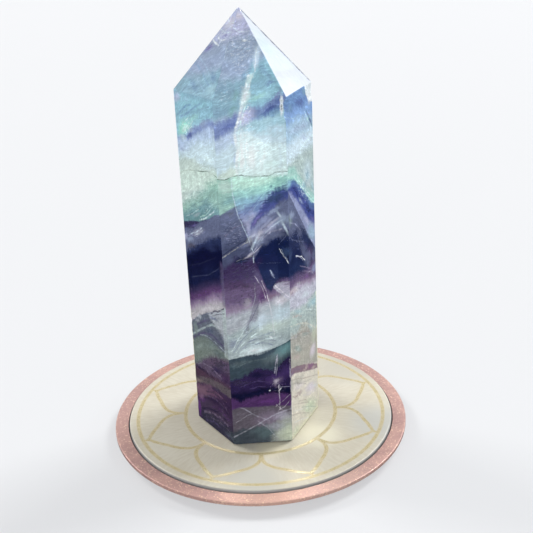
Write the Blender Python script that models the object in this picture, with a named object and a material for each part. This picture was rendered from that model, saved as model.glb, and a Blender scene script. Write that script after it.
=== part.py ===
# A banded fluorite prism that stands on an ivory lotus disc, let into a rose-copper plate.
# Metres, +Z up. The origin is the middle of the plate's underside.

import math

import bmesh
import bpy
from mathutils import Vector

MM = 0.001

# Driving dimensions of the copper plate, a turned piece with an undercut foot.
PLATE_RADIUS = 50.0 * MM
PLATE_HEIGHT = 4.6 * MM
PLATE_EDGE_HEIGHT = 1.4 * MM
PLATE_EDGE_ROUND = 0.3 * MM
FOOT_RADIUS = 42.5 * MM
FOOT_ROUND = 0.5 * MM
UNDERCUT_ROUND = 1.6 * MM
RECESS_RADIUS = 45.6 * MM
RECESS_DEPTH = 0.8 * MM

# Driving dimensions of the ivory disc that lies in the plate's recess.
DISC_RADIUS = 45.2 * MM
DISC_PROUD = 0.9 * MM
DISC_TOP_ROUND = 0.6 * MM
DISC_FOOT_ROUND = 0.2 * MM
RESTING_GAP = 0.3 * MM

# The crystal's upright axis crosses the disc a little to the left of and in front of its middle.
PRISM_AXIS = Vector((-0.5 * MM, -0.8 * MM))

# The crystal's side faces, counter-clockwise from the front left one: which way each looks,
# in degrees from +X, how far it stands from the axis at the base, and how many degrees it
# leans outward as it rises.
SIDE_FACES = (
    (-145.3, 18.1 * MM, -0.1),
    (-86.3, 19.4 * MM, -0.7),
    (-26.3, 17.95 * MM, 0.2),
    (34.7, 18.1 * MM, -0.9),
    (93.7, 19.3 * MM, -0.3),
    (153.7, 17.85 * MM, 0.45),
)

# Height above the base at which each upright edge ends and the point begins. Edge 0 is on
# the left, between the last side face and the first one.
SHOULDER_HEIGHTS = (114.3 * MM, 115.3 * MM, 114.9 * MM, 114.9 * MM, 115.4 * MM, 114.6 * MM)

# The tip, above the base and sideways from the axis, and how much of it is worn flat.
TIP_OFFSET = Vector((-0.75 * MM, -0.7 * MM))
TIP_HEIGHT = 137.9 * MM
TIP_WEAR = 0.35 * MM
EDGE_WEAR = 0.3 * MM

# Shell-shaped chips on the upright edges: the edge, the height of the chip's middle above
# the base, its half length along the edge, its roundness across it, and its depth.
EDGE_CHIPS = (
    (2, 111.0 * MM, 6.2 * MM, 3.4 * MM, 0.75 * MM),
    (3, 112.6 * MM, 5.0 * MM, 3.0 * MM, 0.8 * MM),
    (1, 0.4 * MM, 2.2 * MM, 2.4 * MM, 0.6 * MM),
    (3, 1.2 * MM, 3.0 * MM, 2.6 * MM, 0.6 * MM),
    (0, 37.0 * MM, 2.4 * MM, 2.0 * MM, 0.35 * MM),
    (4, 71.0 * MM, 3.6 * MM, 2.4 * MM, 0.5 * MM),
    (5, 18.0 * MM, 4.2 * MM, 2.8 * MM, 0.6 * MM),
    (5, 95.0 * MM, 2.2 * MM, 1.8 * MM, 0.3 * MM),
)

ROUND_SEGMENTS = 128
SHARP_ANGLE = math.radians(40)


def clear_scene():
    for thing in list(bpy.data.objects):
        bpy.data.objects.remove(thing)


def make_material(name, colour, roughness, metallic=0.0, transmission=0.0):
    material = bpy.data.materials.new(name)
    material.use_nodes = True
    shader = material.node_tree.nodes["Principled BSDF"]
    shader.inputs["Base Color"].default_value = (*colour, 1.0)
    shader.inputs["Roughness"].default_value = roughness
    shader.inputs["Metallic"].default_value = metallic
    shader.inputs["Transmission Weight"].default_value = transmission
    return material


def make_object(name, bm, material):
    bmesh.ops.recalc_face_normals(bm, faces=bm.faces)
    mesh = bpy.data.meshes.new(name)
    bm.to_mesh(mesh)
    bm.free()
    mesh.materials.append(material)
    thing = bpy.data.objects.new(name, mesh)
    bpy.context.scene.collection.objects.link(thing)
    return thing


def arc(centre, radius, start, end, steps):
    """Points of a profile along an arc, angles in degrees from the outward direction."""
    points = []
    for i in range(steps + 1):
        angle = math.radians(start + (end - start) * i / steps)
        points.append((centre[0] + radius * math.cos(angle), centre[1] + radius * math.sin(angle)))
    return points


def turned_piece(name, profile, material):
    """Spins a profile of (radius, height) points, which starts and ends on the axis."""
    bm = bmesh.new()
    corners = [bm.verts.new((radius, 0.0, height)) for radius, height in profile]
    edges = [bm.edges.new(pair) for pair in zip(corners, corners[1:])]
    bmesh.ops.spin(
        bm,
        geom=corners + edges,
        cent=(0.0, 0.0, 0.0),
        axis=(0.0, 0.0, 1.0),
        angle=2 * math.pi,
        steps=ROUND_SEGMENTS,
        use_merge=True,
    )
    bmesh.ops.remove_doubles(bm, verts=bm.verts, dist=0.001 * MM)
    thing = make_object(name, bm, material)
    thing.data.shade_smooth()
    thing.data.set_sharp_from_angle(angle=SHARP_ANGLE)
    return thing


def copper_plate():
    """The plate's foot is narrower than its rim, so the rim's thin edge hangs in a shadow."""
    edge_low = PLATE_HEIGHT - PLATE_EDGE_HEIGHT
    foot_centre = (FOOT_RADIUS - FOOT_ROUND, FOOT_ROUND)
    undercut_centre = (FOOT_RADIUS + UNDERCUT_ROUND, edge_low - UNDERCUT_ROUND)
    rim_middle = PLATE_RADIUS - PLATE_EDGE_ROUND
    profile = [(0.0, 0.0)]
    profile += arc(foot_centre, FOOT_ROUND, -90, 0, 2)
    profile += arc(undercut_centre, UNDERCUT_ROUND, 180, 90, 3)
    profile += arc((rim_middle, edge_low + PLATE_EDGE_ROUND), PLATE_EDGE_ROUND, -90, 0, 2)
    profile += arc((rim_middle, PLATE_HEIGHT - PLATE_EDGE_ROUND), PLATE_EDGE_ROUND, 0, 90, 2)
    profile += [(RECESS_RADIUS, PLATE_HEIGHT)]
    profile += [(RECESS_RADIUS, PLATE_HEIGHT - RECESS_DEPTH)]
    profile += [(0.0, PLATE_HEIGHT - RECESS_DEPTH)]
    material = make_material("rose_copper", (0.62, 0.33, 0.28), 0.38, metallic=0.8)
    return turned_piece("copper_plate", profile, material)


def lotus_disc():
    low = PLATE_HEIGHT - RECESS_DEPTH + RESTING_GAP
    high = disc_top()
    profile = [(0.0, low)]
    profile += arc((DISC_RADIUS - DISC_FOOT_ROUND, low + DISC_FOOT_ROUND), DISC_FOOT_ROUND, -90, 0, 1)
    profile += arc((DISC_RADIUS - DISC_TOP_ROUND, high - DISC_TOP_ROUND), DISC_TOP_ROUND, 0, 90, 3)
    profile += [(0.0, high)]
    material = make_material("ivory", (0.78, 0.73, 0.58), 0.45)
    return turned_piece("lotus_disc", profile, material)


def disc_top():
    return PLATE_HEIGHT + DISC_PROUD


def prism_base():
    return disc_top() + RESTING_GAP


def face_direction(face):
    angle = math.radians(SIDE_FACES[face % len(SIDE_FACES)][0])
    return Vector((math.cos(angle), math.sin(angle)))


def edge_point(edge, height):
    """Where two neighbouring side faces meet at a height above the base."""
    before = face_direction(edge - 1)
    after = face_direction(edge)
    reach = []
    for face in (edge - 1, edge):
        _, distance, lean = SIDE_FACES[face % len(SIDE_FACES)]
        reach.append(distance + height * math.tan(math.radians(lean)))
    cross = before.x * after.y - before.y * after.x
    x = (reach[0] * after.y - reach[1] * before.y) / cross
    y = (reach[1] * before.x - reach[0] * after.x) / cross
    flat = PRISM_AXIS + Vector((x, y))
    return Vector((flat.x, flat.y, prism_base() + height))


def chip_cutter():
    """One flattened ball for each chip, set so that it only grazes the edge."""
    bm = bmesh.new()
    for edge, height, half_length, roundness, depth in EDGE_CHIPS:
        outward = (face_direction(edge - 1) + face_direction(edge)).normalized()
        ball = bmesh.ops.create_icosphere(bm, subdivisions=3, radius=1.0)
        away = outward * (roundness - depth)
        middle = edge_point(edge, height) + Vector((away.x, away.y, 0.0))
        bmesh.ops.scale(bm, vec=(roundness, roundness, half_length), verts=ball["verts"])
        bmesh.ops.translate(bm, vec=middle, verts=ball["verts"])
    cutter = make_object("chip_cutter", bm, make_material("cutter", (0.5, 0.5, 0.5), 0.5))
    cutter.hide_render = True
    cutter.display_type = "WIRE"
    return cutter


def fluorite_prism():
    bm = bmesh.new()
    count = len(SIDE_FACES)
    base = [bm.verts.new(edge_point(edge, 0.0)) for edge in range(count)]
    shoulder = [bm.verts.new(edge_point(edge, SHOULDER_HEIGHTS[edge])) for edge in range(count)]
    tip_flat = PRISM_AXIS + TIP_OFFSET
    tip = bm.verts.new((tip_flat.x, tip_flat.y, prism_base() + TIP_HEIGHT))
    bm.faces.new(list(reversed(base)))
    for i in range(count):
        j = (i + 1) % count
        bm.faces.new((base[i], base[j], shoulder[j], shoulder[i]))
        bm.faces.new((shoulder[i], shoulder[j], tip))
    worn = tip.co - Vector((0.0, 0.0, TIP_WEAR))
    cut = bmesh.ops.bisect_plane(
        bm,
        geom=bm.verts[:] + bm.edges[:] + bm.faces[:],
        plane_co=worn,
        plane_no=(0.12, -0.1, 1.0),
        clear_outer=True,
    )
    rim = [piece for piece in cut["geom_cut"] if isinstance(piece, bmesh.types.BMEdge)]
    bmesh.ops.contextual_create(bm, geom=rim)
    material = make_material("fluorite", (0.36, 0.36, 0.56), 0.06, transmission=0.7)
    prism = make_object("fluorite_prism", bm, material)
    wear = prism.modifiers.new("edge_wear", "BEVEL")
    wear.width = EDGE_WEAR
    wear.segments = 1
    wear.limit_method = "ANGLE"
    wear.angle_limit = math.radians(15)
    chips = prism.modifiers.new("chips", "BOOLEAN")
    chips.operation = "DIFFERENCE"
    chips.solver = "EXACT"
    chips.object = chip_cutter()
    return prism


clear_scene()
copper_plate()
lotus_disc()
fluorite_prism()
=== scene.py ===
import math

import bmesh
import bpy
from mathutils import Matrix, Vector


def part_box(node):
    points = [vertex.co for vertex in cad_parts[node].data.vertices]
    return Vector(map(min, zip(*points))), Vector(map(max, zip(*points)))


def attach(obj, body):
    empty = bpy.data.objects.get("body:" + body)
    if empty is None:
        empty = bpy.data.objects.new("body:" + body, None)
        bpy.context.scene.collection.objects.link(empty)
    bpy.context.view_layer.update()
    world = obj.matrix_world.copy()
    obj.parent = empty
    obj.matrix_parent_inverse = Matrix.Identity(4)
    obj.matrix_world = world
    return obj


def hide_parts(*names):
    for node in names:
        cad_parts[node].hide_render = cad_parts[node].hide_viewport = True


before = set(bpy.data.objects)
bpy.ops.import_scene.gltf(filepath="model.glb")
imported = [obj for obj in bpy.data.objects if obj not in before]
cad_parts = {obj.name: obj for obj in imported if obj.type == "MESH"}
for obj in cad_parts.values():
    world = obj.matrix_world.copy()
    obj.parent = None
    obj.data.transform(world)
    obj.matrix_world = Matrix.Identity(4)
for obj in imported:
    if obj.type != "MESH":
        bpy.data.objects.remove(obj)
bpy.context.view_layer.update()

mm = 0.001
discLow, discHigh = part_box("lotus_disc")
plateLow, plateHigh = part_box("copper_plate")
prismLow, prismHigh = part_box("fluorite_prism")
objectBody = "root"


# Helpers for node trees. A bench is one material with its tree and its Principled shader.

class Bench:
    mixInputs = (0, 6, 7)  # a mix node's factor and its two colours
    mixOutput = 2

    def __init__(self, name):
        self.material = bpy.data.materials.new(name)
        self.material.use_nodes = True
        self.tree = self.material.node_tree
        self.shader = self.tree.nodes["Principled BSDF"]

    def add(self, kind, **settings):
        node = self.tree.nodes.new(kind)
        for key, value in settings.items():
            setattr(node, key, value)
        return node

    def feed(self, socket, value):
        if isinstance(value, bpy.types.NodeSocket):
            self.tree.links.new(value, socket)
        elif socket.type == "RGBA":
            socket.default_value = (*value[:3], 1.0)
        else:
            socket.default_value = value

    def math(self, operation, first, second=0.0, third=0.0):
        node = self.add("ShaderNodeMath", operation=operation)
        for socket, value in zip(node.inputs, (first, second, third)):
            self.feed(socket, value)
        return node.outputs[0]

    def vector(self, operation, first, second=(0.0, 0.0, 0.0), scale=1.0):
        node = self.add("ShaderNodeVectorMath", operation=operation)
        self.feed(node.inputs[0], first)
        if operation == "SCALE":
            self.feed(node.inputs["Scale"], scale)
        elif operation != "LENGTH":
            self.feed(node.inputs[1], second)
        return node.outputs["Value" if operation in ("DOT_PRODUCT", "LENGTH") else "Vector"]

    def noise(self, place, scale, detail=2.0, roughness=0.5, output="Fac"):
        node = self.add("ShaderNodeTexNoise")
        self.feed(node.inputs["Vector"], place)
        node.inputs["Scale"].default_value = scale
        node.inputs["Detail"].default_value = detail
        node.inputs["Roughness"].default_value = roughness
        return node.outputs[output]

    def cells(self, place, scale):
        node = self.add("ShaderNodeTexVoronoi")
        self.feed(node.inputs["Vector"], place)
        node.inputs["Scale"].default_value = scale
        return node.outputs["Color"]

    def ramp(self, value, low, high, start=0.0, end=1.0, kind="SMOOTHSTEP"):
        node = self.add("ShaderNodeMapRange", interpolation_type=kind)
        self.feed(node.inputs["Value"], value)
        self.feed(node.inputs["From Min"], low)
        self.feed(node.inputs["From Max"], high)
        self.feed(node.inputs["To Min"], start)
        self.feed(node.inputs["To Max"], end)
        return node.outputs["Result"]

    def mix(self, factor, first, second):
        node = self.add("ShaderNodeMix", data_type="RGBA")
        for number, value in zip(self.mixInputs, (factor, first, second)):
            self.feed(node.inputs[number], value)
        return node.outputs[self.mixOutput]

    def split(self, vector):
        node = self.add("ShaderNodeSeparateXYZ")
        self.feed(node.inputs[0], vector)
        return node.outputs[0], node.outputs[1], node.outputs[2]

    def join(self, x, y, z=0.0):
        node = self.add("ShaderNodeCombineXYZ")
        for socket, value in zip(node.inputs, (x, y, z)):
            self.feed(socket, value)
        return node.outputs[0]

    def place(self, vector, location, tilt, size):
        node = self.add("ShaderNodeMapping", vector_type="TEXTURE")
        self.feed(node.inputs["Vector"], vector)
        node.inputs["Location"].default_value = location
        node.inputs["Rotation"].default_value = (0.0, 0.0, tilt)
        node.inputs["Scale"].default_value = size
        return node.outputs[0]

    def curve(self, value, points, bend="VECTOR"):
        node = self.add("ShaderNodeFloatCurve")
        self.feed(node.inputs["Value"], value)
        node.mapping.use_clip = False
        line = node.mapping.curves[0]
        line.points[0].location = points[0]
        line.points[1].location = points[-1]
        for point in points[1:-1]:
            line.points.new(*point)
        for point in line.points:
            point.handle_type = bend
        node.mapping.update()
        return node.outputs[0]

    def bump(self, height, strength, distance):
        node = self.add("ShaderNodeBump")
        self.feed(node.inputs["Height"], height)
        node.inputs["Strength"].default_value = strength
        node.inputs["Distance"].default_value = distance
        return node.outputs["Normal"]

    def millimetres(self):
        place = self.add("ShaderNodeTexCoord").outputs["Object"]
        return self.vector("SCALE", place, scale=1.0 / mm)

    def paintLight(self, colour, place, paintedLight, core=0.25):
        # Each patch of painted light or shade has its full strength up to the core's share of its reach.
        for tint, where, reach, amount in paintedLight:
            far = self.vector("LENGTH", self.vector("SUBTRACT", place, where))
            colour = self.mix(self.ramp(far, reach * core, reach, amount, 0.0), colour, tint)
        return colour

    def finish(self, **values):
        for key, value in values.items():
            self.feed(self.shader.inputs[key.replace("_", " ")], value)
        return self.material


def screenColour(red, green, blue):
    linear = []
    for part in (red, green, blue):
        part = part / 255.0
        linear.append(part / 12.92 if part <= 0.04045 else ((part + 0.055) / 1.055) ** 2.4)
    return tuple(linear)


# Camera

cameraLook = {
    "sensorWidth": 36.0,
    "focalPixels": 1000.3,
    "framePixels": 533.0,
    "clipNear": 0.01,
    "clipFar": 50.0,
    "pitch": math.radians(24.45),
    "roll": math.radians(2.206),
    "distance": 347.36 * mm,
    "slideRight": 2.12 * mm,
    "slideUp": 49.89 * mm,
}


def placeCamera(look):
    pitch, roll = look["pitch"], look["roll"]
    ahead = Vector((0.0, math.cos(pitch), -math.sin(pitch)))
    level = Vector((1.0, 0.0, 0.0))
    upright = level.cross(ahead)
    right = math.cos(roll) * level - math.sin(roll) * upright
    above = math.cos(roll) * upright + math.sin(roll) * level
    data = bpy.data.cameras.new("studioCamera")
    data.sensor_width = look["sensorWidth"]
    data.lens = look["focalPixels"] * data.sensor_width / look["framePixels"]
    data.clip_start = look["clipNear"]
    data.clip_end = look["clipFar"]
    camera = bpy.data.objects.new("studioCamera", data)
    where = Vector((0.0, 0.0, discHigh.z)) - look["distance"] * ahead
    where += look["slideRight"] * right + look["slideUp"] * above
    turn = Matrix((right, above, -ahead)).transposed().to_4x4()
    camera.matrix_world = Matrix.Translation(where) @ turn
    bpy.context.scene.collection.objects.link(camera)
    bpy.context.scene.camera = camera


placeCamera(cameraLook)
print("camera placed")


# Studio

studio = {
    # The room's light by height: the sine of the angle above the horizon, and the colour there.
    "room": (
        (0.0, (0.035, 0.036, 0.045)),
        (0.012, (0.95, 0.96, 0.98)),
        (0.16, (0.95, 0.965, 0.99)),
        (0.42, (0.50, 0.51, 0.53)),
        (1.0, (0.37, 0.375, 0.39)),
    ),
    "floor": (0.25, 0.253, 0.257),
    "floorGlow": (0.515, 0.52, 0.532),
    "floorHalf": 9.0,
    "floorDrop": 0.05 * mm,  # how far the floor lies under the plate
    "matt": 0.9,
    # A pale wall round the floor closes the horizon in low views. Only the camera sees it.
    "wallRadius": 8.0,
    "wallHeight": 6.0,
    "wallSides": 128,
    "wallFoot": (0.66, 0.67, 0.68),
    "wallGlow": (0.87, 0.875, 0.89),
    "wallFade": 500.0,  # mm over which the wall's foot turns into its glow
    "aimHeight": 60 * mm,
    # Each lamp: name, azimuth and height in degrees, distance and size in metres, watts, colour.
    "lamps": (
        ("windowRight", 36.0, 46.0, 4.0, 1.3, 132.0, (1.0, 1.0, 1.0)),
        ("windowLeft", 148.0, 40.0, 4.0, 1.0, 90.0, (1.0, 0.99, 0.97)),
        ("softFront", -100.0, 16.0, 4.0, 2.4, 56.0, (0.97, 0.985, 1.0)),
        ("facetGleam", 33.0, 17.0, 4.0, 0.9, 26.0, (0.94, 0.98, 1.0)),
    ),
}


def lightRoom(look):
    world = bpy.data.worlds.new("paleRoom")
    world.use_nodes = True
    tree = world.node_tree
    way = tree.nodes.new("ShaderNodeTexCoord").outputs["Generated"]
    split = tree.nodes.new("ShaderNodeSeparateXYZ")
    tree.links.new(way, split.inputs[0])
    ramp = tree.nodes.new("ShaderNodeValToRGB")
    tree.links.new(split.outputs[2], ramp.inputs[0])
    stops = ramp.color_ramp.elements
    while len(stops) < len(look["room"]):
        stops.new(1.0)
    for stop, (height, colour) in zip(stops, look["room"]):
        stop.position = height
        stop.color = (*colour, 1.0)
    tree.links.new(ramp.outputs[0], tree.nodes["Background"].inputs["Color"])
    bpy.context.scene.world = world


def hangLamps(look):
    aim = Vector((0.0, 0.0, look["aimHeight"]))
    for name, azimuth, height, distance, size, watts, colour in look["lamps"]:
        azimuth, height = math.radians(azimuth), math.radians(height)
        flat = Vector((math.cos(azimuth), math.sin(azimuth), 0.0)) * math.cos(height)
        way = flat + Vector((0.0, 0.0, math.sin(height)))
        data = bpy.data.lights.new(name, "AREA")
        data.shape = "SQUARE"
        data.size = size
        data.energy = watts
        data.color = colour
        lamp = bpy.data.objects.new(name, data)
        lamp.location = aim + way * distance
        lamp.rotation_mode = "QUATERNION"
        lamp.rotation_quaternion = (-way).to_track_quat("-Z", "Y")
        lamp.visible_camera = False
        bpy.context.scene.collection.objects.link(lamp)


def addBackdrop(name, bm, material, height):
    mesh = bpy.data.meshes.new(name)
    bm.to_mesh(mesh)
    bm.free()
    mesh.materials.append(material)
    piece = bpy.data.objects.new(name, mesh)
    piece.location.z = height
    piece.visible_glossy = False
    bpy.context.scene.collection.objects.link(piece)
    return piece


def layFloor(look):
    bench = Bench("paleFloor")
    material = bench.finish(
        Base_Color=look["floor"], Roughness=look["matt"], Specular_IOR_Level=0.0,
        Emission_Color=look["floorGlow"], Emission_Strength=1.0,
    )
    bm = bmesh.new()
    bmesh.ops.create_grid(bm, x_segments=1, y_segments=1, size=look["floorHalf"])
    floor = addBackdrop("paleFloor", bm, material, plateLow.z - look["floorDrop"])


def raiseWall(look):
    bench = Bench("paleWall")
    z = bench.split(bench.millimetres())[2]
    low = -look["wallHeight"] / 2 / mm
    glow = bench.mix(bench.ramp(z, low, low + look["wallFade"]), look["wallFoot"], look["wallGlow"])
    material = bench.finish(
        Base_Color=(0.0, 0.0, 0.0), Roughness=look["matt"], Specular_IOR_Level=0.0,
        Emission_Color=glow, Emission_Strength=1.0,
    )
    bm = bmesh.new()
    bmesh.ops.create_cone(
        bm, segments=look["wallSides"], depth=look["wallHeight"],
        radius1=look["wallRadius"], radius2=look["wallRadius"],
    )
    height = plateLow.z + look["wallHeight"] / 2 - look["floorDrop"]
    wall = addBackdrop("paleWall", bm, material, height)
    wall.visible_diffuse = False
    wall.visible_transmission = False
    wall.visible_shadow = False


lightRoom(studio)
hangLamps(studio)
layFloor(studio)
raiseWall(studio)
bpy.context.scene.view_settings.view_transform = "Standard"
print("studio lit")


# Turned pieces: the copper plate and the ivory disc. Sizes are in mm.

plate = {
    "radius": 50.0,
    "height": 4.6,
    "edgeHeight": 1.4,
    "edgeRound": 0.3,
    "edgeSteps": 5,
    "footRadius": 42.5,
    "footRound": 0.5,
    "footSteps": 4,
    "undercutRound": 1.6,
    "undercutSteps": 6,
    "recessRadius": 45.6,
    "recessDepth": 0.8,
}

disc = {
    "radius": 45.2,
    "proud": 0.9,
    "topRound": 0.6,
    "topSteps": 6,
    "footRound": 0.2,
    "footSteps": 3,
    "gap": 0.3,
}

turning = {
    "steps": 256,
    "weld": 0.001 * mm,
    "sharpAngle": math.radians(30),
}


def roundedCorner(centre, radius, start, end, steps):
    points = []
    for i in range(steps + 1):
        angle = math.radians(start + (end - start) * i / steps)
        points.append((centre[0] + radius * math.cos(angle), centre[1] + radius * math.sin(angle)))
    return points


def turnedPiece(name, profile, material, node):
    bm = bmesh.new()
    corners = [bm.verts.new((radius * mm, 0.0, height * mm)) for radius, height in profile]
    edges = [bm.edges.new(pair) for pair in zip(corners, corners[1:])]
    bmesh.ops.spin(
        bm, geom=corners + edges, cent=(0, 0, 0), axis=(0, 0, 1),
        angle=2 * math.pi, steps=turning["steps"], use_merge=True,
    )
    bmesh.ops.remove_doubles(bm, verts=bm.verts, dist=turning["weld"])
    bmesh.ops.recalc_face_normals(bm, faces=bm.faces)
    mesh = bpy.data.meshes.new(name)
    bm.to_mesh(mesh)
    bm.free()
    mesh.materials.append(material)
    piece = bpy.data.objects.new(name, mesh)
    bpy.context.scene.collection.objects.link(piece)
    mesh.shade_smooth()
    mesh.set_sharp_from_angle(angle=turning["sharpAngle"])
    piece.visible_glossy = False
    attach(piece, objectBody)
    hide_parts(node)
    return piece


def plateProfile(size):
    low = size["height"] - size["edgeHeight"]
    high = size["height"] - size["edgeRound"]
    foot = (size["footRadius"] - size["footRound"], size["footRound"])
    undercut = (size["footRadius"] + size["undercutRound"], low - size["undercutRound"])
    rim = size["radius"] - size["edgeRound"]
    recess = size["height"] - size["recessDepth"]
    profile = [(0.0, 0.0)]
    profile += roundedCorner(foot, size["footRound"], -90, 0, size["footSteps"])
    profile += roundedCorner(undercut, size["undercutRound"], 180, 90, size["undercutSteps"])
    profile += roundedCorner((rim, low + size["edgeRound"]), size["edgeRound"], -90, 0, size["edgeSteps"])
    profile += roundedCorner((rim, high), size["edgeRound"], 0, 90, size["edgeSteps"])
    profile += [(size["recessRadius"], size["height"]), (size["recessRadius"], recess), (0.0, recess)]
    return profile


def discProfile(size, below):
    low = below["height"] - below["recessDepth"] + size["gap"]
    high = below["height"] + size["proud"]
    foot = (size["radius"] - size["footRound"], low + size["footRound"])
    top = (size["radius"] - size["topRound"], high - size["topRound"])
    profile = [(0.0, low)]
    profile += roundedCorner(foot, size["footRound"], -90, 0, size["footSteps"])
    profile += roundedCorner(top, size["topRound"], 0, 90, size["topSteps"])
    profile += [(0.0, high)]
    return profile


copperFinish = {
    "rose": screenColour(202, 161, 150),
    "deepRose": screenColour(170, 134, 130),
    "glint": screenColour(236, 204, 178),
    # The colour of the painted shade in the recess under the disc
    "recess": screenColour(52, 46, 48),
    # The painted shade in the recess is dark from this far under the rim, and over this width of its
    # edge, in mm.
    "recessShadeTop": (0.4, 0.05),
    "recessShadeEdge": (0.05, 0.1),
    # Painted light and shade, as soft patches: a darker one on the left of the rim and warm, brighter
    # ones at its front; each has its colour, its middle and reach in mm, and how strong it is.
    "paintedLight": (
        (screenColour(178, 142, 136), (-49.0, 8.0, 4.6), 32.0, 0.75),
        (screenColour(222, 180, 160), (0.0, -48.5, 4.6), 20.0, 0.7),
        (screenColour(218, 184, 170), (26.0, -42.0, 4.6), 18.0, 0.5),
    ),
    "cloudPerMm": 0.12,
    "grainPerMm": 3.2,
    "flakePerMm": 2.88,
    # How much the bright grain, the glinting flakes and the dull flakes cover
    "grainCover": 0.35,
    "glintCover": 0.85,
    "dullCover": 0.45,
    # Where each of them starts to show and shows in full, as a share of its noise
    "grainRange": (0.42, 0.6),
    "glintRange": (0.86, 0.97),
    "dullRange": (0.8, 1.0),
    "roughness": 0.42,
    "roughSpread": (-0.08, 0.1),
    "metal": 0.35,
    "bumpStrength": 0.25,
    "bumpDepth": 0.03 * mm,
}


def roseCopper(look):
    bench = Bench("roseCopper")
    place = bench.millimetres()
    cloud = bench.noise(place, look["cloudPerMm"], 3.0)
    grain = bench.noise(place, look["grainPerMm"], 2.0, 0.7)
    flakes = bench.cells(place, look["flakePerMm"])
    flakeLight, flakeTint, flakeTurn = bench.split(flakes)
    colour = bench.mix(bench.ramp(cloud, 0.3, 0.7), look["deepRose"], look["rose"])
    # Painted shade on the left of the rim and painted highlights at its front
    colour = bench.paintLight(colour, place, look["paintedLight"])
    bright = bench.ramp(grain, *look["grainRange"], 0.0, look["grainCover"])
    colour = bench.mix(bright, colour, look["rose"])
    glints = bench.ramp(flakeLight, *look["glintRange"], 0.0, look["glintCover"])
    colour = bench.mix(glints, colour, look["glint"])
    dull = bench.ramp(flakeTint, *look["dullRange"], 0.0, look["dullCover"])
    colour = bench.mix(dull, colour, look["deepRose"])
    x, y, z = bench.split(place)
    radius = bench.vector("LENGTH", bench.join(x, y))
    # Painted shade: the recess under the disc, below the rim and inside its wall, turns dark.
    low, high = (plate["height"] - depth for depth in look["recessShadeTop"])
    sunk = bench.ramp(z, low, high, 1.0, 0.0)
    near, far = (plate["recessRadius"] + width for width in look["recessShadeEdge"])
    inside = bench.ramp(radius, near, far, 1.0, 0.0)
    colour = bench.mix(bench.math("MULTIPLY", sunk, inside), colour, look["recess"])
    least, most = (look["roughness"] + part for part in look["roughSpread"])
    rough = bench.ramp(grain, 0.3, 0.7, least, most)
    height = bench.math("ADD", bench.math("MULTIPLY", grain, 0.6), flakeTurn)
    return bench.finish(
        Base_Color=colour, Metallic=look["metal"], Roughness=rough,
        Normal=bench.bump(height, look["bumpStrength"], look["bumpDepth"]),
    )


lotus = {
    "petals": 8,
    "tipAngle": 22.5,
    "outerRing": 42.2,
    "innerRing": 25.9,
    "lineWidth": 0.7,
    # A line is full up to this share of its width, and gone at the second one.
    "lineEdge": (0.6, 1.3),
    "innerFade": 0.3,
    "outerFade": 0.4,
    "topFade": (0.3, 0.1),  # how far under the disc's top the gold is gone, and full
    "wearPerMm": 0.5,
    "wearRange": (0.3, 0.62),
    "lineWear": (0.76, 1.0),
    "lineDepth": 0.8,
    "grainDepth": 0.3,
    # Half a petal: how wide it is at points along its own axis, in mm.
    "halfPetal": (
        (24.0, 9.9), (25.5, 10.45), (27.5, 10.9), (29.5, 10.7), (31.5, 9.8),
        (33.5, 8.2), (35.5, 6.0), (37.5, 3.9), (39.3, 1.7), (40.8, 0.0),
    ),
    "middleWidth": 0.2,  # where the curve starts, as a share of its span
    "span": 50.0,  # the reach of the petal's curve from the disc's middle
    "nudge": 0.2,  # the step along the curve that tells its slope
    "gold": screenColour(194, 180, 140),
    "ivory": screenColour(197, 192, 176),
    "ivoryShade": screenColour(188, 181, 163),
    # The colour of the painted shade on the disc's side
    "edgeShade": screenColour(150, 150, 148),
    # Painted light and shade, as soft patches: greyer, darker ones over the front, the right and the back
    # right of the disc, and warm, brighter ones in front of the crystal's foot; each has its colour, its
    # middle and reach in mm, and how strong it is.
    "paintedLight": (
        (screenColour(176, 174, 164), (-3.0, -39.5, 5.5), 15.0, 0.95),
        (screenColour(182, 182, 176), (40.0, -10.0, 5.5), 15.0, 0.8),
        (screenColour(178, 174, 162), (33.0, 28.0, 5.5), 17.0, 0.9),
        (screenColour(214, 209, 188), (19.5, -16.5, 5.5), 10.0, 0.95),
        (screenColour(218, 210, 184), (3.0, -23.0, 5.5), 7.0, 0.9),
    ),
    "cloudPerMm": 0.09,
    "grainPerMm": 5.0,
    "rayCount": 46.0,
    "raysPerMm": 0.25,
    "shadeRange": (0.35, 0.65),
    "grainRange": (0.55, 0.75),
    "grainCover": 0.22,
    # Painted shade on the disc's side, which reaches in over the outer edge of the top
    "edgeShadeRange": (0.3, 0.05),  # the grey begins and is full this far inside the edge, in mm
    "goldMetal": 0.2,
    "goldGloss": 0.16,
    "roughness": 0.42,
    "roughSpread": (-0.05, 0.08),
    "bumpStrength": 0.2,
    "bumpDepth": 0.03 * mm,
}


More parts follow.
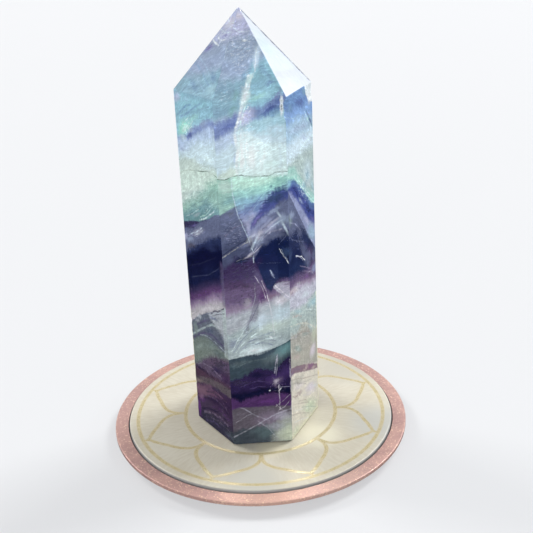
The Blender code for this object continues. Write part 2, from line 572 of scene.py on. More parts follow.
def goldLines(bench, z, radius, angle, look):
    # One petal's outline, folded round the disc, and the two rings.
    step = 2 * math.pi / look["petals"]
    turned = bench.math("DIVIDE", bench.math("SUBTRACT", angle, math.radians(look["tipAngle"])), step)
    turned = bench.math("FRACT", bench.math("ADD", turned, 0.5))
    fold = bench.math("MULTIPLY", bench.math("SUBTRACT", turned, 0.5), step)
    along = bench.math("MULTIPLY", radius, bench.math("COSINE", fold))
    beside = bench.math("ABSOLUTE", bench.math("MULTIPLY", radius, bench.math("SINE", fold)))
    span, nudge = look["span"], look["nudge"]
    points = [(a / span, b / span) for a, b in look["halfPetal"]]
    points = [(0.0, look["middleWidth"])] + points + [(1.0, 0.0)]
    width = bench.math("MULTIPLY", bench.curve(bench.math("DIVIDE", along, span), points, "AUTO"), span)
    further = bench.math("DIVIDE", bench.math("ADD", along, nudge), span)
    widthNext = bench.math("MULTIPLY", bench.curve(further, points, "AUTO"), span)
    slope = bench.math("DIVIDE", bench.math("SUBTRACT", widthNext, width), nudge)
    stretch = bench.math("SQRT", bench.math("MULTIPLY_ADD", slope, slope, 1.0))
    gap = bench.math("DIVIDE", bench.math("ABSOLUTE", bench.math("SUBTRACT", beside, width)), stretch)
    full, gone = (look["lineWidth"] * share for share in look["lineEdge"])
    inner, outer = look["innerRing"], look["outerRing"]
    lines = bench.ramp(gap, full, gone, 1.0, 0.0)
    lines = bench.math("MULTIPLY", lines, bench.ramp(radius, inner - look["innerFade"], inner))
    outside = bench.ramp(radius, outer - look["outerFade"], outer, 1.0, 0.0)
    lines = bench.math("MULTIPLY", lines, outside)
    for ring in (outer, inner):
        gap = bench.math("ABSOLUTE", bench.math("SUBTRACT", radius, ring))
        lines = bench.math("MAXIMUM", lines, bench.ramp(gap, full, gone, 1.0, 0.0))
    low, high = (discHigh.z / mm - depth for depth in look["topFade"])
    return bench.math("MULTIPLY", lines, bench.ramp(z, low, high))


def ivoryLotus(look):
    bench = Bench("ivoryLotus")
    place = bench.millimetres()
    x, y, z = bench.split(place)
    radius = bench.vector("LENGTH", bench.join(x, y))
    angle = bench.math("ARCTAN2", y, x)
    lines = goldLines(bench, z, radius, angle, look)
    cloud = bench.noise(place, look["cloudPerMm"], 3.0)
    grain = bench.noise(place, look["grainPerMm"], 2.0, 0.7)
    around = bench.math("MULTIPLY", angle, look["rayCount"])
    rays = bench.noise(bench.join(around, bench.math("MULTIPLY", radius, look["raysPerMm"])), 1.0, 2.0)
    shade = bench.math("ADD", bench.math("MULTIPLY", rays, 0.6), bench.math("MULTIPLY", cloud, 0.4))
    colour = bench.mix(bench.ramp(shade, *look["shadeRange"]), look["ivory"], look["ivoryShade"])
    specks = bench.ramp(grain, *look["grainRange"], 0.0, look["grainCover"])
    colour = bench.mix(specks, colour, look["ivoryShade"])
    # Painted shade over the front, right and back right of the disc, and painted light in front of the
    # crystal's foot
    colour = bench.paintLight(colour, place, look["paintedLight"])
    wear = bench.noise(place, look["wearPerMm"], 3.0)
    wear = bench.ramp(wear, *look["wearRange"], *look["lineWear"])
    lines = bench.math("MULTIPLY", lines, wear)
    colour = bench.mix(lines, colour, look["gold"])
    # Painted shade: the disc's side and the outer edge of its top turn grey.
    low, high = (disc["radius"] - width for width in look["edgeShadeRange"])
    colour = bench.mix(bench.ramp(radius, low, high), colour, look["edgeShade"])
    least, most = (look["roughness"] + part for part in look["roughSpread"])
    rough = bench.ramp(grain, 0.3, 0.7, least, most)
    rough = bench.math("SUBTRACT", rough, bench.math("MULTIPLY", lines, look["goldGloss"]))
    sunk = bench.math("MULTIPLY", lines, look["lineDepth"])
    height = bench.math("SUBTRACT", bench.math("MULTIPLY", grain, look["grainDepth"]), sunk)
    return bench.finish(
        Base_Color=colour, Roughness=rough, Metallic=bench.math("MULTIPLY", lines, look["goldMetal"]),
        Normal=bench.bump(height, look["bumpStrength"], look["bumpDepth"]),
    )


turnedPiece("copperPlate", plateProfile(plate), roseCopper(copperFinish), "copper_plate")
turnedPiece("lotusDisc", discProfile(disc, plate), ivoryLotus(lotus), "lotus_disc")
print("plate and disc turned")


# The fluorite's colours, as they look on the polished faces

fluoriteColours = {
    "ink": (18, 20, 52),
    "navy": (8, 14, 50),
    "navyBlue": (20, 34, 72),
    "navySlate": (44, 54, 90),
    "nightTeal": (36, 50, 78),
    "indigo": (72, 82, 142),
    "indigoSoft": (94, 110, 156),
    "indigoPlum": (46, 36, 74),
    "slateInk": (60, 57, 76),
    "seaSlate": (72, 81, 89),
    "smokePlum": (76, 62, 86),
    "smokeGrey": (100, 94, 104),
    "umber": (80, 60, 78),
    "oliveGrey": (94, 86, 92),
    "greyPlum": (90, 78, 100),
    "rosePlum": (124, 96, 114),
    "royal": (98, 126, 168),
    "royalMist": (134, 164, 206),
    "steel": (124, 154, 179),
    "steelTeal": (138, 169, 183),
    "steelNight": (66, 84, 116),
    "sky": (163, 188, 208),
    "ice": (204, 220, 230),
    "frost": (216, 238, 240),
    "snow": (228, 250, 252),
    "mint": (164, 210, 200),
    "mintGlow": (150, 212, 190),
    "mintSea": (154, 190, 176),
    "paleMint": (190, 222, 208),
    "mintGrey": (202, 216, 207),
    "mintWhite": (212, 238, 230),
    "aqua": (148, 188, 200),
    "aquaMist": (164, 196, 206),
    "seaMint": (134, 174, 170),
    "teal": (116, 154, 156),
    "deepTeal": (96, 132, 142),
    "darkSea": (62, 78, 88),
    "seaGrey": (98, 116, 120),
    "sage": (118, 131, 125),
    "sageDusk": (98, 112, 112),
    "sageSilver": (168, 182, 183),
    "mistGreen": (150, 168, 162),
    "greenGrey": (172, 186, 184),
    "greenCream": (190, 211, 202),
    "leaf": (212, 222, 198),
    "paleSage": (168, 174, 168),
    "crackOlive": (122, 134, 118),
    "crackDark": (92, 108, 96),
    "cream": (214, 211, 198),
    "creamPale": (226, 222, 208),
    # Painted highlight along the crystal's upright edges and its foot
    "creamGlow": (240, 234, 200),
    "bone": (178, 178, 168),
    "tan": (164, 148, 140),
    "blush": (190, 176, 172),
    "silver": (178, 174, 178),
    "lilacWhite": (222, 216, 224),
    "paleLilac": (190, 190, 204),
    "lavender": (187, 190, 216),
    "lavenderHaze": (174, 188, 212),
    "hazeBlue": (168, 184, 210),
    "hazeGrey": (150, 163, 184),
    "shellMist": (196, 214, 222),
    "periwinkle": (150, 158, 190),
    "greyPeriwinkle": (158, 172, 193),
    "violet": (126, 118, 174),
    "violetBlue": (98, 112, 164),
    "slateHaze": (104, 111, 138),
    "greyViolet": (118, 126, 156),
    "duskViolet": (84, 76, 108),
    "duskLavender": (136, 124, 144),
    "mistGrey": (166, 171, 178),
    "mistSlate": (98, 104, 118),
    "slate": (80, 88, 114),
    "slatePlum": (62, 56, 80),
    "plum": (64, 45, 76),
    "violetPlum": (72, 54, 104),
    "magenta": (82, 54, 100),
    "magentaDusk": (96, 79, 114),
    "mauve": (140, 122, 148),
    "rose": (122, 92, 114),
    "orchid": (150, 116, 144),
    # The painted reflection of the window on the facet of the point
    "facetPale": (222, 226, 238),
    "glow": (108, 62, 132),
}

# The layers of one face, from the first laid to the last. Places are in mm: across the face
# from its left edge, and up from the crystal's foot. A field is the colour over an area
# between a floor and a roof line, west and east lines stop it sideways; a smear is a soft
# oval; a vein is a line, and a shard a steep line.

frontLeftLayers = (
    ("field", "slateInk", 1.0, {}),
    ("smear", "seaSlate", 1.0, (21, 2), (3.6, 3.6), 0),
    ("vein", "duskViolet", 0.7, 0.6, ((5, 1), (10, 2.8), (16, 2.4))),
    ("field", "smokePlum", 1.4, {"floor": ((0, 3.8), (6, 5.2), (14, 5.6), (22, 5.2))}),
    ("vein", "ink", 0.7, 0.6, ((3, 4.6), (7, 6.6), (13, 8), (18, 7.4))),
    ("vein", "duskLavender", 0.45, 0.8, ((4, 3.8), (8, 5.4), (14, 6.6), (19, 5.6))),
    ("vein", "duskLavender", 0.3, 0.6, ((5, 2.4), (9, 3.8), (14, 4.6), (20, 3.6))),
    ("field", "plum", 1.4, {"floor": ((0, 9), (8, 10), (14, 9.4), (22, 9.4))}),
    ("smear", "glow", 0.85, (1.0, 4.4), (5.4, 2.0), 92),
    ("smear", "glow", 0.5, (3.4, 8.6), (3.6, 1.6), 30),
    ("smear", "rosePlum", 1.0, (3.6, 12.2), (10.6, 3.3), 14),
    ("smear", "rosePlum", 0.6, (1, 11.4), (6, 3), 14),
    ("smear", "greyPlum", 0.7, (15.8, 9), (4.6, 1.1), 84),
    ("smear", "rose", 0.5, (12, 14), (7, 1.6), 14),
    ("smear", "mistSlate", 0.5, (18.6, 1.8), (4, 1.4), 0),
    ("vein", "ink", 0.55, 0.7, ((3, 9), (8, 11), (13, 11.8), (20, 10.4))),
    ("vein", "rosePlum", 0.5, 0.5, ((2, 13), (7, 14.8), (12, 15.6), (19, 14.6))),
    ("vein", "ink", 0.5, 0.5, ((6, 12.8), (11, 14.4), (16, 14.6), (21, 13))),
    ("vein", "magenta", 0.7, 0.6, ((9, 8.6), (14, 9.6), (20, 8.2))),
    ("vein", "greyPlum", 0.8, 0.5, ((4, 9.8), (8, 11.9), (13, 12.6), (20, 11.3))),
    ("smear", "rosePlum", 0.6, (8, 16), (5, 1.4), 16),
    ("field", "umber", 0.6, {"floor": ((0, 15), (6, 17.4), (12, 19), (22, 20))}),
    ("field", "oliveGrey", 0.5, {
        "floor": ((0, 13.4), (5, 15.4), (10, 16.9), (14, 17.2), (22, 17.4)),
        "roof": ((0, 15.9), (5, 18), (10, 19.4), (14, 20.2), (22, 20.8)),
    }),
    ("smear", "tan", 0.45, (1, 14.8), (5, 0.9), 22),
    ("smear", "slateInk", 0.7, (13.6, 17), (2.6, 1), 10),
    ("field", "greyPlum", 0.6, {"floor": ((0, 20.2), (6, 21), (12, 20.9), (16, 21.6), (22, 22))}),
    ("vein", "ink", 0.75, 0.6, ((1, 20.4), (6, 20.7), (12, 20.2))),
    ("smear", "plum", 0.95, (19.6, 23.6), (6.4, 3.4), 10),
    ("smear", "indigoPlum", 0.9, (14, 24.4), (5, 1.6), 20),
    ("vein", "duskLavender", 0.6, 0.4, ((2, 21.6), (6, 23.4), (11, 24), (17, 22.6))),
    ("vein", "duskLavender", 0.4, 0.35, ((3, 26), (8, 21.5), (14, 16), (20, 10.4))),
    ("smear", "slateInk", 0.9, (16.4, 27.4), (5.6, 2.6), 16),
    ("field", "sage", 1.3, {"floor": ((0, 21), (3, 23), (6, 25.2), (10, 27.6), (14, 29.6), (22, 31.4))}),
    ("smear", "sageDusk", 0.8, (16, 31), (6, 2), 10),
    ("smear", "sageDusk", 0.6, (12, 33), (4, 1.4), 10),
    ("smear", "mistGreen", 0.5, (4, 29), (5, 1.1), 40),
    ("smear", "mistGreen", 0.5, (10.4, 31.6), (4, 1), 12),
    ("field", "mistSlate", 0.6, {
        "floor": ((0, 29.6), (4, 32.6), (8, 34.4), (12, 34.4), (17, 33.4), (22, 33.2)),
    }),
    ("vein", "sageSilver", 0.8, 0.7, ((0, 31.8), (4, 34.8), (9, 38.2), (13, 40.6), (19, 41.4))),
    ("vein", "duskViolet", 0.85, 0.6, ((0, 30.6), (4, 33.4), (8, 35.8), (13, 36.8), (19, 35.4))),
    ("vein", "sageSilver", 0.6, 0.4, ((5, 33.8), (9, 35), (14, 34.8), (21, 33.6))),
    ("smear", "slate", 0.7, (11.4, 37.6), (4, 1.4), 14),
    ("vein", "duskViolet", 0.9, 0.7, ((1, 34.8), (5, 38), (8, 39.8), (12, 42))),
    ("field", "mistGrey", 1.3, {
        "floor": ((0, 60), (8, 60), (10, 44.6), (13, 41.8), (17, 39.6), (22, 38)),
    }),
    ("field", "greenGrey", 0.3, {
        "floor": ((0, 31.8), (22, 31.8)),
        "west": ((19.6, 31), (19.8, 48)),
    }, 0.6),
    ("vein", "mistSlate", 0.5, 0.4, ((10, 41.2), (15, 43.4), (20, 45.6))),
    ("field", "silver", 0.5, {
        "floor": ((0, 36.6), (5, 40.6), (10, 43.6), (13, 45), (16, 46.6), (22, 50)),
    }),
    ("smear", "lilacWhite", 0.5, (11, 45.4), (6, 0.9), 26),
    ("vein", "slate", 0.85, 0.45, ((0, 36.4), (5, 40.3), (10, 43.3), (14, 45.2))),
    ("field", "mauve", 1.7, {"floor": ((0, 41.4), (4, 43.4), (8, 45.4), (12, 47.8), (16, 50), (22, 52))}),
    ("field", "magenta", 1.5, {
        "floor": ((0, 43.2), (4, 45.4), (8, 47.4), (12, 49.8), (16, 52.4), (22, 55.4)),
    }),
    ("field", "indigoPlum", 1.5, {
        "floor": ((0, 46), (4, 48.2), (8, 50.6), (12, 53), (16, 54.8), (22, 57.6)),
    }),
    ("field", "navy", 1.6, {
        "floor": ((0, 48.4), (4, 50.4), (8, 52.6), (12, 54.8), (16, 56.8), (22, 59.4)),
    }),
    ("vein", "slatePlum", 0.9, 0.5, ((12.6, 44.2), (15, 46.2), (17.4, 47), (21, 49.4))),
    ("vein", "slatePlum", 0.8, 0.4, ((13.6, 44), (17, 45.8), (21, 47.6))),
    ("vein", "slate", 0.4, 0.22, ((2, 53.4), (8, 56), (13, 58), (19.6, 62.6))),
    ("vein", "slate", 0.25, 0.2, ((1, 57), (9, 60.6), (18, 65.6))),
    ("field", "duskViolet", 0.7, {
        "floor": ((0, 50), (22, 50)),
        "roof": ((0, 65), (22, 65)),
        "west": ((20.3, 48), (20.1, 66)),
    }, 0.6),
    ("field", "navySlate", 1.5, {
        "floor": ((0, 60.4), (4, 63), (8, 65.2), (12, 67.4), (16, 68.6), (22, 69.6)),
    }),
    ("field", "slateHaze", 1.2, {
        "floor": ((0, 61.8), (4, 64.6), (8, 66.9), (12, 69.2), (16, 71.2), (22, 73.6)),
    }),
    ("smear", "oliveGrey", 0.5, (3.6, 64.8), (5, 0.9), 26),
    ("smear", "lavender", 0.9, (0.6, 67), (2.8, 1.6), 50),
    ("smear", "lavenderHaze", 0.6, (3.4, 67), (3.6, 1.4), 22),
    ("smear", "greyViolet", 0.5, (15, 72), (4, 1.6), 22),
    ("smear", "paleLilac", 0.6, (8.6, 71.2), (5.4, 1.5), 26),
    ("vein", "ice", 0.85, 0.3, ((4, 69.2), (7, 70.4), (9.4, 72), (11.4, 73.4))),
    ("vein", "frost", 0.7, 0.22, ((6.8, 69.6), (9.4, 70.8), (11.4, 72.6))),
    ("vein", "lavender", 0.6, 0.22, ((1, 67.2), (4, 68.8), (8, 69.4))),
    ("field", "indigoPlum", 0.7, {"floor": ((0, 69.8), (4, 71.2), (8, 73), (10, 74.8), (22, 82))}, 0.85),
    ("smear", "violet", 0.5, (6.4, 72.6), (3, 0.6), 24),
    ("field", "teal", 0.25, {
        "floor": ((0, 72), (4, 73.5), (8, 74.5), (10, 75), (12, 76), (16, 77.8), (19, 79.8), (22, 80.8)),
    }),
    ("smear", "sageSilver", 0.6, (8.6, 76.8), (3.6, 0.7), 30),
    ("smear", "deepTeal", 0.7, (5, 75.8), (3, 0.6), 28),
    ("field", "mintSea", 1.8, {"floor": ((0, 74.6), (5, 78), (10, 80), (14, 82.6), (17, 83), (22, 82))}),
    ("smear", "deepTeal", 0.4, (15.4, 83.8), (3.2, 0.9), 38),
    ("smear", "deepTeal", 0.5, (11.8, 80.4), (3, 0.7), 38),
    ("field", "mintGrey", 2.6, {
        "floor": ((0, 78), (5, 81.6), (10, 84.2), (14, 87.2), (18, 90), (22, 92)),
    }),
    ("vein", "frost", 0.95, 0.42, ((9.5, 75.4), (13, 76.8), (15.6, 78.6), (19, 81))),
    ("vein", "paleMint", 0.8, 0.3, ((10.4, 76.6), (14, 78.4), (18, 82))),
    ("vein", "paleMint", 0.7, 0.25, ((14, 79.4), (17, 82), (21, 84.8))),
    ("vein", "greenCream", 0.6, 0.3, ((2, 74.4), (6, 76.4), (10, 79))),
    ("vein", "deepTeal", 0.45, 0.3, ((3, 76.6), (8, 80.2), (13, 82.6))),
    ("field", "greenGrey", 0.8, {
        "floor": ((0, 88.8), (6, 90.8), (12, 91.8), (17, 92.8), (22, 93.8)),
    }, 0.4),
    ("smear", "mintGrey", 0.7, (19, 93.4), (4, 1.6), 10),
    ("field", "shellMist", 1.8, {"floor": ((0, 93), (9, 95), (13, 94), (22, 94.6))}),
    ("smear", "frost", 0.6, (17, 96.6), (5, 1.8), 0),
    ("smear", "lavenderHaze", 0.95, (3, 97.4), (5.4, 3.2), 24),
    ("smear", "periwinkle", 0.4, (2.6, 96.4), (3, 1.2), 24),
    ("field", "hazeBlue", 2.6, {
        "floor": ((0, 96.6), (7, 98.6), (11, 100.6), (15, 101.8), (22, 103)),
    }, 0.9),
    ("field", "aqua", 1.0, {"floor": ((0, 100), (5, 101.4), (10, 104.4), (15, 107), (22, 109.6))}),
    ("smear", "mintGlow", 1.0, (5, 103.8), (6.4, 2.8), 32),
    ("smear", "mintWhite", 0.7, (5.4, 103.6), (3.4, 1.3), 34),
    ("smear", "mint", 0.7, (10.6, 107.8), (5.4, 1.4), 32),
    ("field", "violetBlue", 0.9, {
        "floor": ((0, 99.6), (4, 100), (7, 100.6), (10, 102.2), (15, 104.9), (19, 106.8), (22, 106.4)),
        "roof": ((0, 99.6), (4, 101), (7, 103), (10, 104.4), (14, 106.6), (18, 109), (22, 109)),
    }, 0.75),
    ("smear", "indigo", 0.8, (8, 102.3), (3.2, 1.0), 32),
    ("smear", "greyPeriwinkle", 0.6, (16.4, 107.4), (4, 1.3), 24),
    ("vein", "royal", 0.6, 0.5, ((1, 106.6), (4, 108.8), (7, 110.8), (10, 111.6))),
    ("vein", "steel", 0.8, 0.6, ((3, 106.6), (7, 108.4), (11, 110.8), (16, 113.4))),
    ("vein", "steelTeal", 0.7, 0.5, ((8, 107), (13, 110.4), (20, 113))),
    ("smear", "lavender", 0.8, (1.4, 112.4), (3.6, 2.2), 20),
    ("smear", "sky", 0.5, (7, 112.6), (4, 1), 20),
    ("vein", "frost", 0.9, 0.25, ((6.6, 103.6), (8.4, 105), (10.2, 106.8))),
    ("vein", "frost", 0.8, 0.22, ((5.2, 101.6), (7.4, 103.6), (9.6, 105.2))),
    ("vein", "snow", 0.7, 0.2, ((3, 103.4), (5, 105.4), (7.6, 107.2))),
    ("field", "steelTeal", 0.8, {"floor": ((0, 114.6), (8, 113.4), (22, 114.6))}, 0.85),
    ("smear", "aquaMist", 0.7, (18.6, 117.6), (3.4, 1.9), 15),
    ("smear", "steel", 0.6, (9, 117), (6, 1.2), -18),
    ("smear", "royal", 0.45, (16.4, 120.6), (3.4, 1.4), -20),
    ("field", "hazeGrey", 2.0, {"floor": ((0, 118), (10, 119), (15, 121.4), (22, 124))}),
    ("vein", "sky", 0.6, 0.3, ((3, 120.2), (9, 118.8), (16, 116.4))),
    ("vein", "sky", 0.6, 0.3, ((5, 123.8), (10, 122.4), (17, 119.4))),
    ("vein", "steel", 0.6, 0.4, ((4, 122.4), (10, 120.6), (17, 118))),
    ("smear", "violet", 0.75, (7.6, 126.6), (2.8, 1.2), 30),
    ("field", "lavender", 1.5, {"floor": ((0, 127), (12, 128.6), (22, 131))}, 0.7),
    ("vein", "snow", 0.95, 0.35, ((7.6, 128.6), (9.6, 128.1), (12, 127.7))),
    ("vein", "snow", 0.85, 0.3, ((9.6, 129.6), (12, 128.9), (14, 129.6))),
    ("vein", "frost", 0.7, 0.25, ((9, 131.6), (12, 131), (15, 131.6))),
    ("smear", "sky", 0.6, (11.4, 133), (2.6, 0.7), -12),
    ("smear", "lilacWhite", 0.6, (12, 133.6), (3.4, 2.4), 0),
    ("vein", "frost", 0.7, 0.25, ((9.6, 134.4), (12, 133.6), (14, 134))),
    ("smear", "violet", 0.5, (12.6, 130.4), (2, 0.7), 20),
    ("shard", "ice", 0.6, 0.2, ((18.2, 124), (16.6, 127), (15, 131))),
    ("smear", "mistGrey", 0.9, (5.5, 40.6), (2.2, 1.1), 10),
    ("smear", "slateHaze", 0.8, (13.2, 43.3), (2.4, 0.9), 8),
    ("smear", "mistGreen", 0.6, (2.6, 35.2), (2.0, 3.2), 0),
    ("smear", "orchid", 0.5, (2.8, 9.2), (2.6, 1.4), 20),
    ("smear", "greyPeriwinkle", 0.8, (8.6, 103.4), (2.4, 1.0), 10),
    ("smear", "slateHaze", 0.7, (15.2, 43.5), (2.2, 0.9), 4),
    ("smear", "mistGrey", 0.7, (3.9, 38.7), (2.2, 1.1), 20),
    ("smear", "magentaDusk", 0.75, (17.6, 52.7), (5, 1.4), 4),
    ("smear", "navySlate", 0.8, (16, 67.7), (4.4, 1.6), 8),
    ("smear", "shellMist", 0.7, (4, 100.4), (2.6, 1.6), 0),
    # A painted highlight along the face's left upright edge
    ("shard", "creamGlow", 1.0, 0.5, ((0.0, 4), (0.0, 30), (0.0, 47))),
    ("grain", "snow", 0.8, (6, 104.2), (5.4, 3), 30),
    ("grain", "snow", 0.6, (11, 130), (6, 4), 20),
    ("grain", "lavender", 0.6, (7, 70.4), (7, 2.4), 25),
    ("grain", "frost", 0.5, (15, 80.6), (5, 1.6), 36),
    ("vein", "crackOlive", 0.6, 0.24, ((1, 88.9), (6, 90.6), (11, 91.6))),
    ("vein", "crackDark", 0.95, 0.28, ((10.6, 91.5), (14, 92.1), (17.6, 93))),
    ("vein", "crackDark", 0.8, 0.24, ((19.4, 92.7), (22, 92.1))),
)

faultLine = ((3.9, 92), (4.2, 86), (5.4, 80), (7.8, 73.4), (9.4, 68), (9.2, 64))
crackLine = ((0, 91.7), (2, 91.4), (4.4, 92.4), (7, 92.6), (9.6, 92), (15, 91.9), (17.4, 93), (21, 92.9))
jagLine = ((5.8, 92.6), (5.7, 96), (6.2, 100), (5.7, 105), (6.9, 109), (7.9, 112), (8.8, 115.6),
    (9.9, 118.6), (10.9, 121))

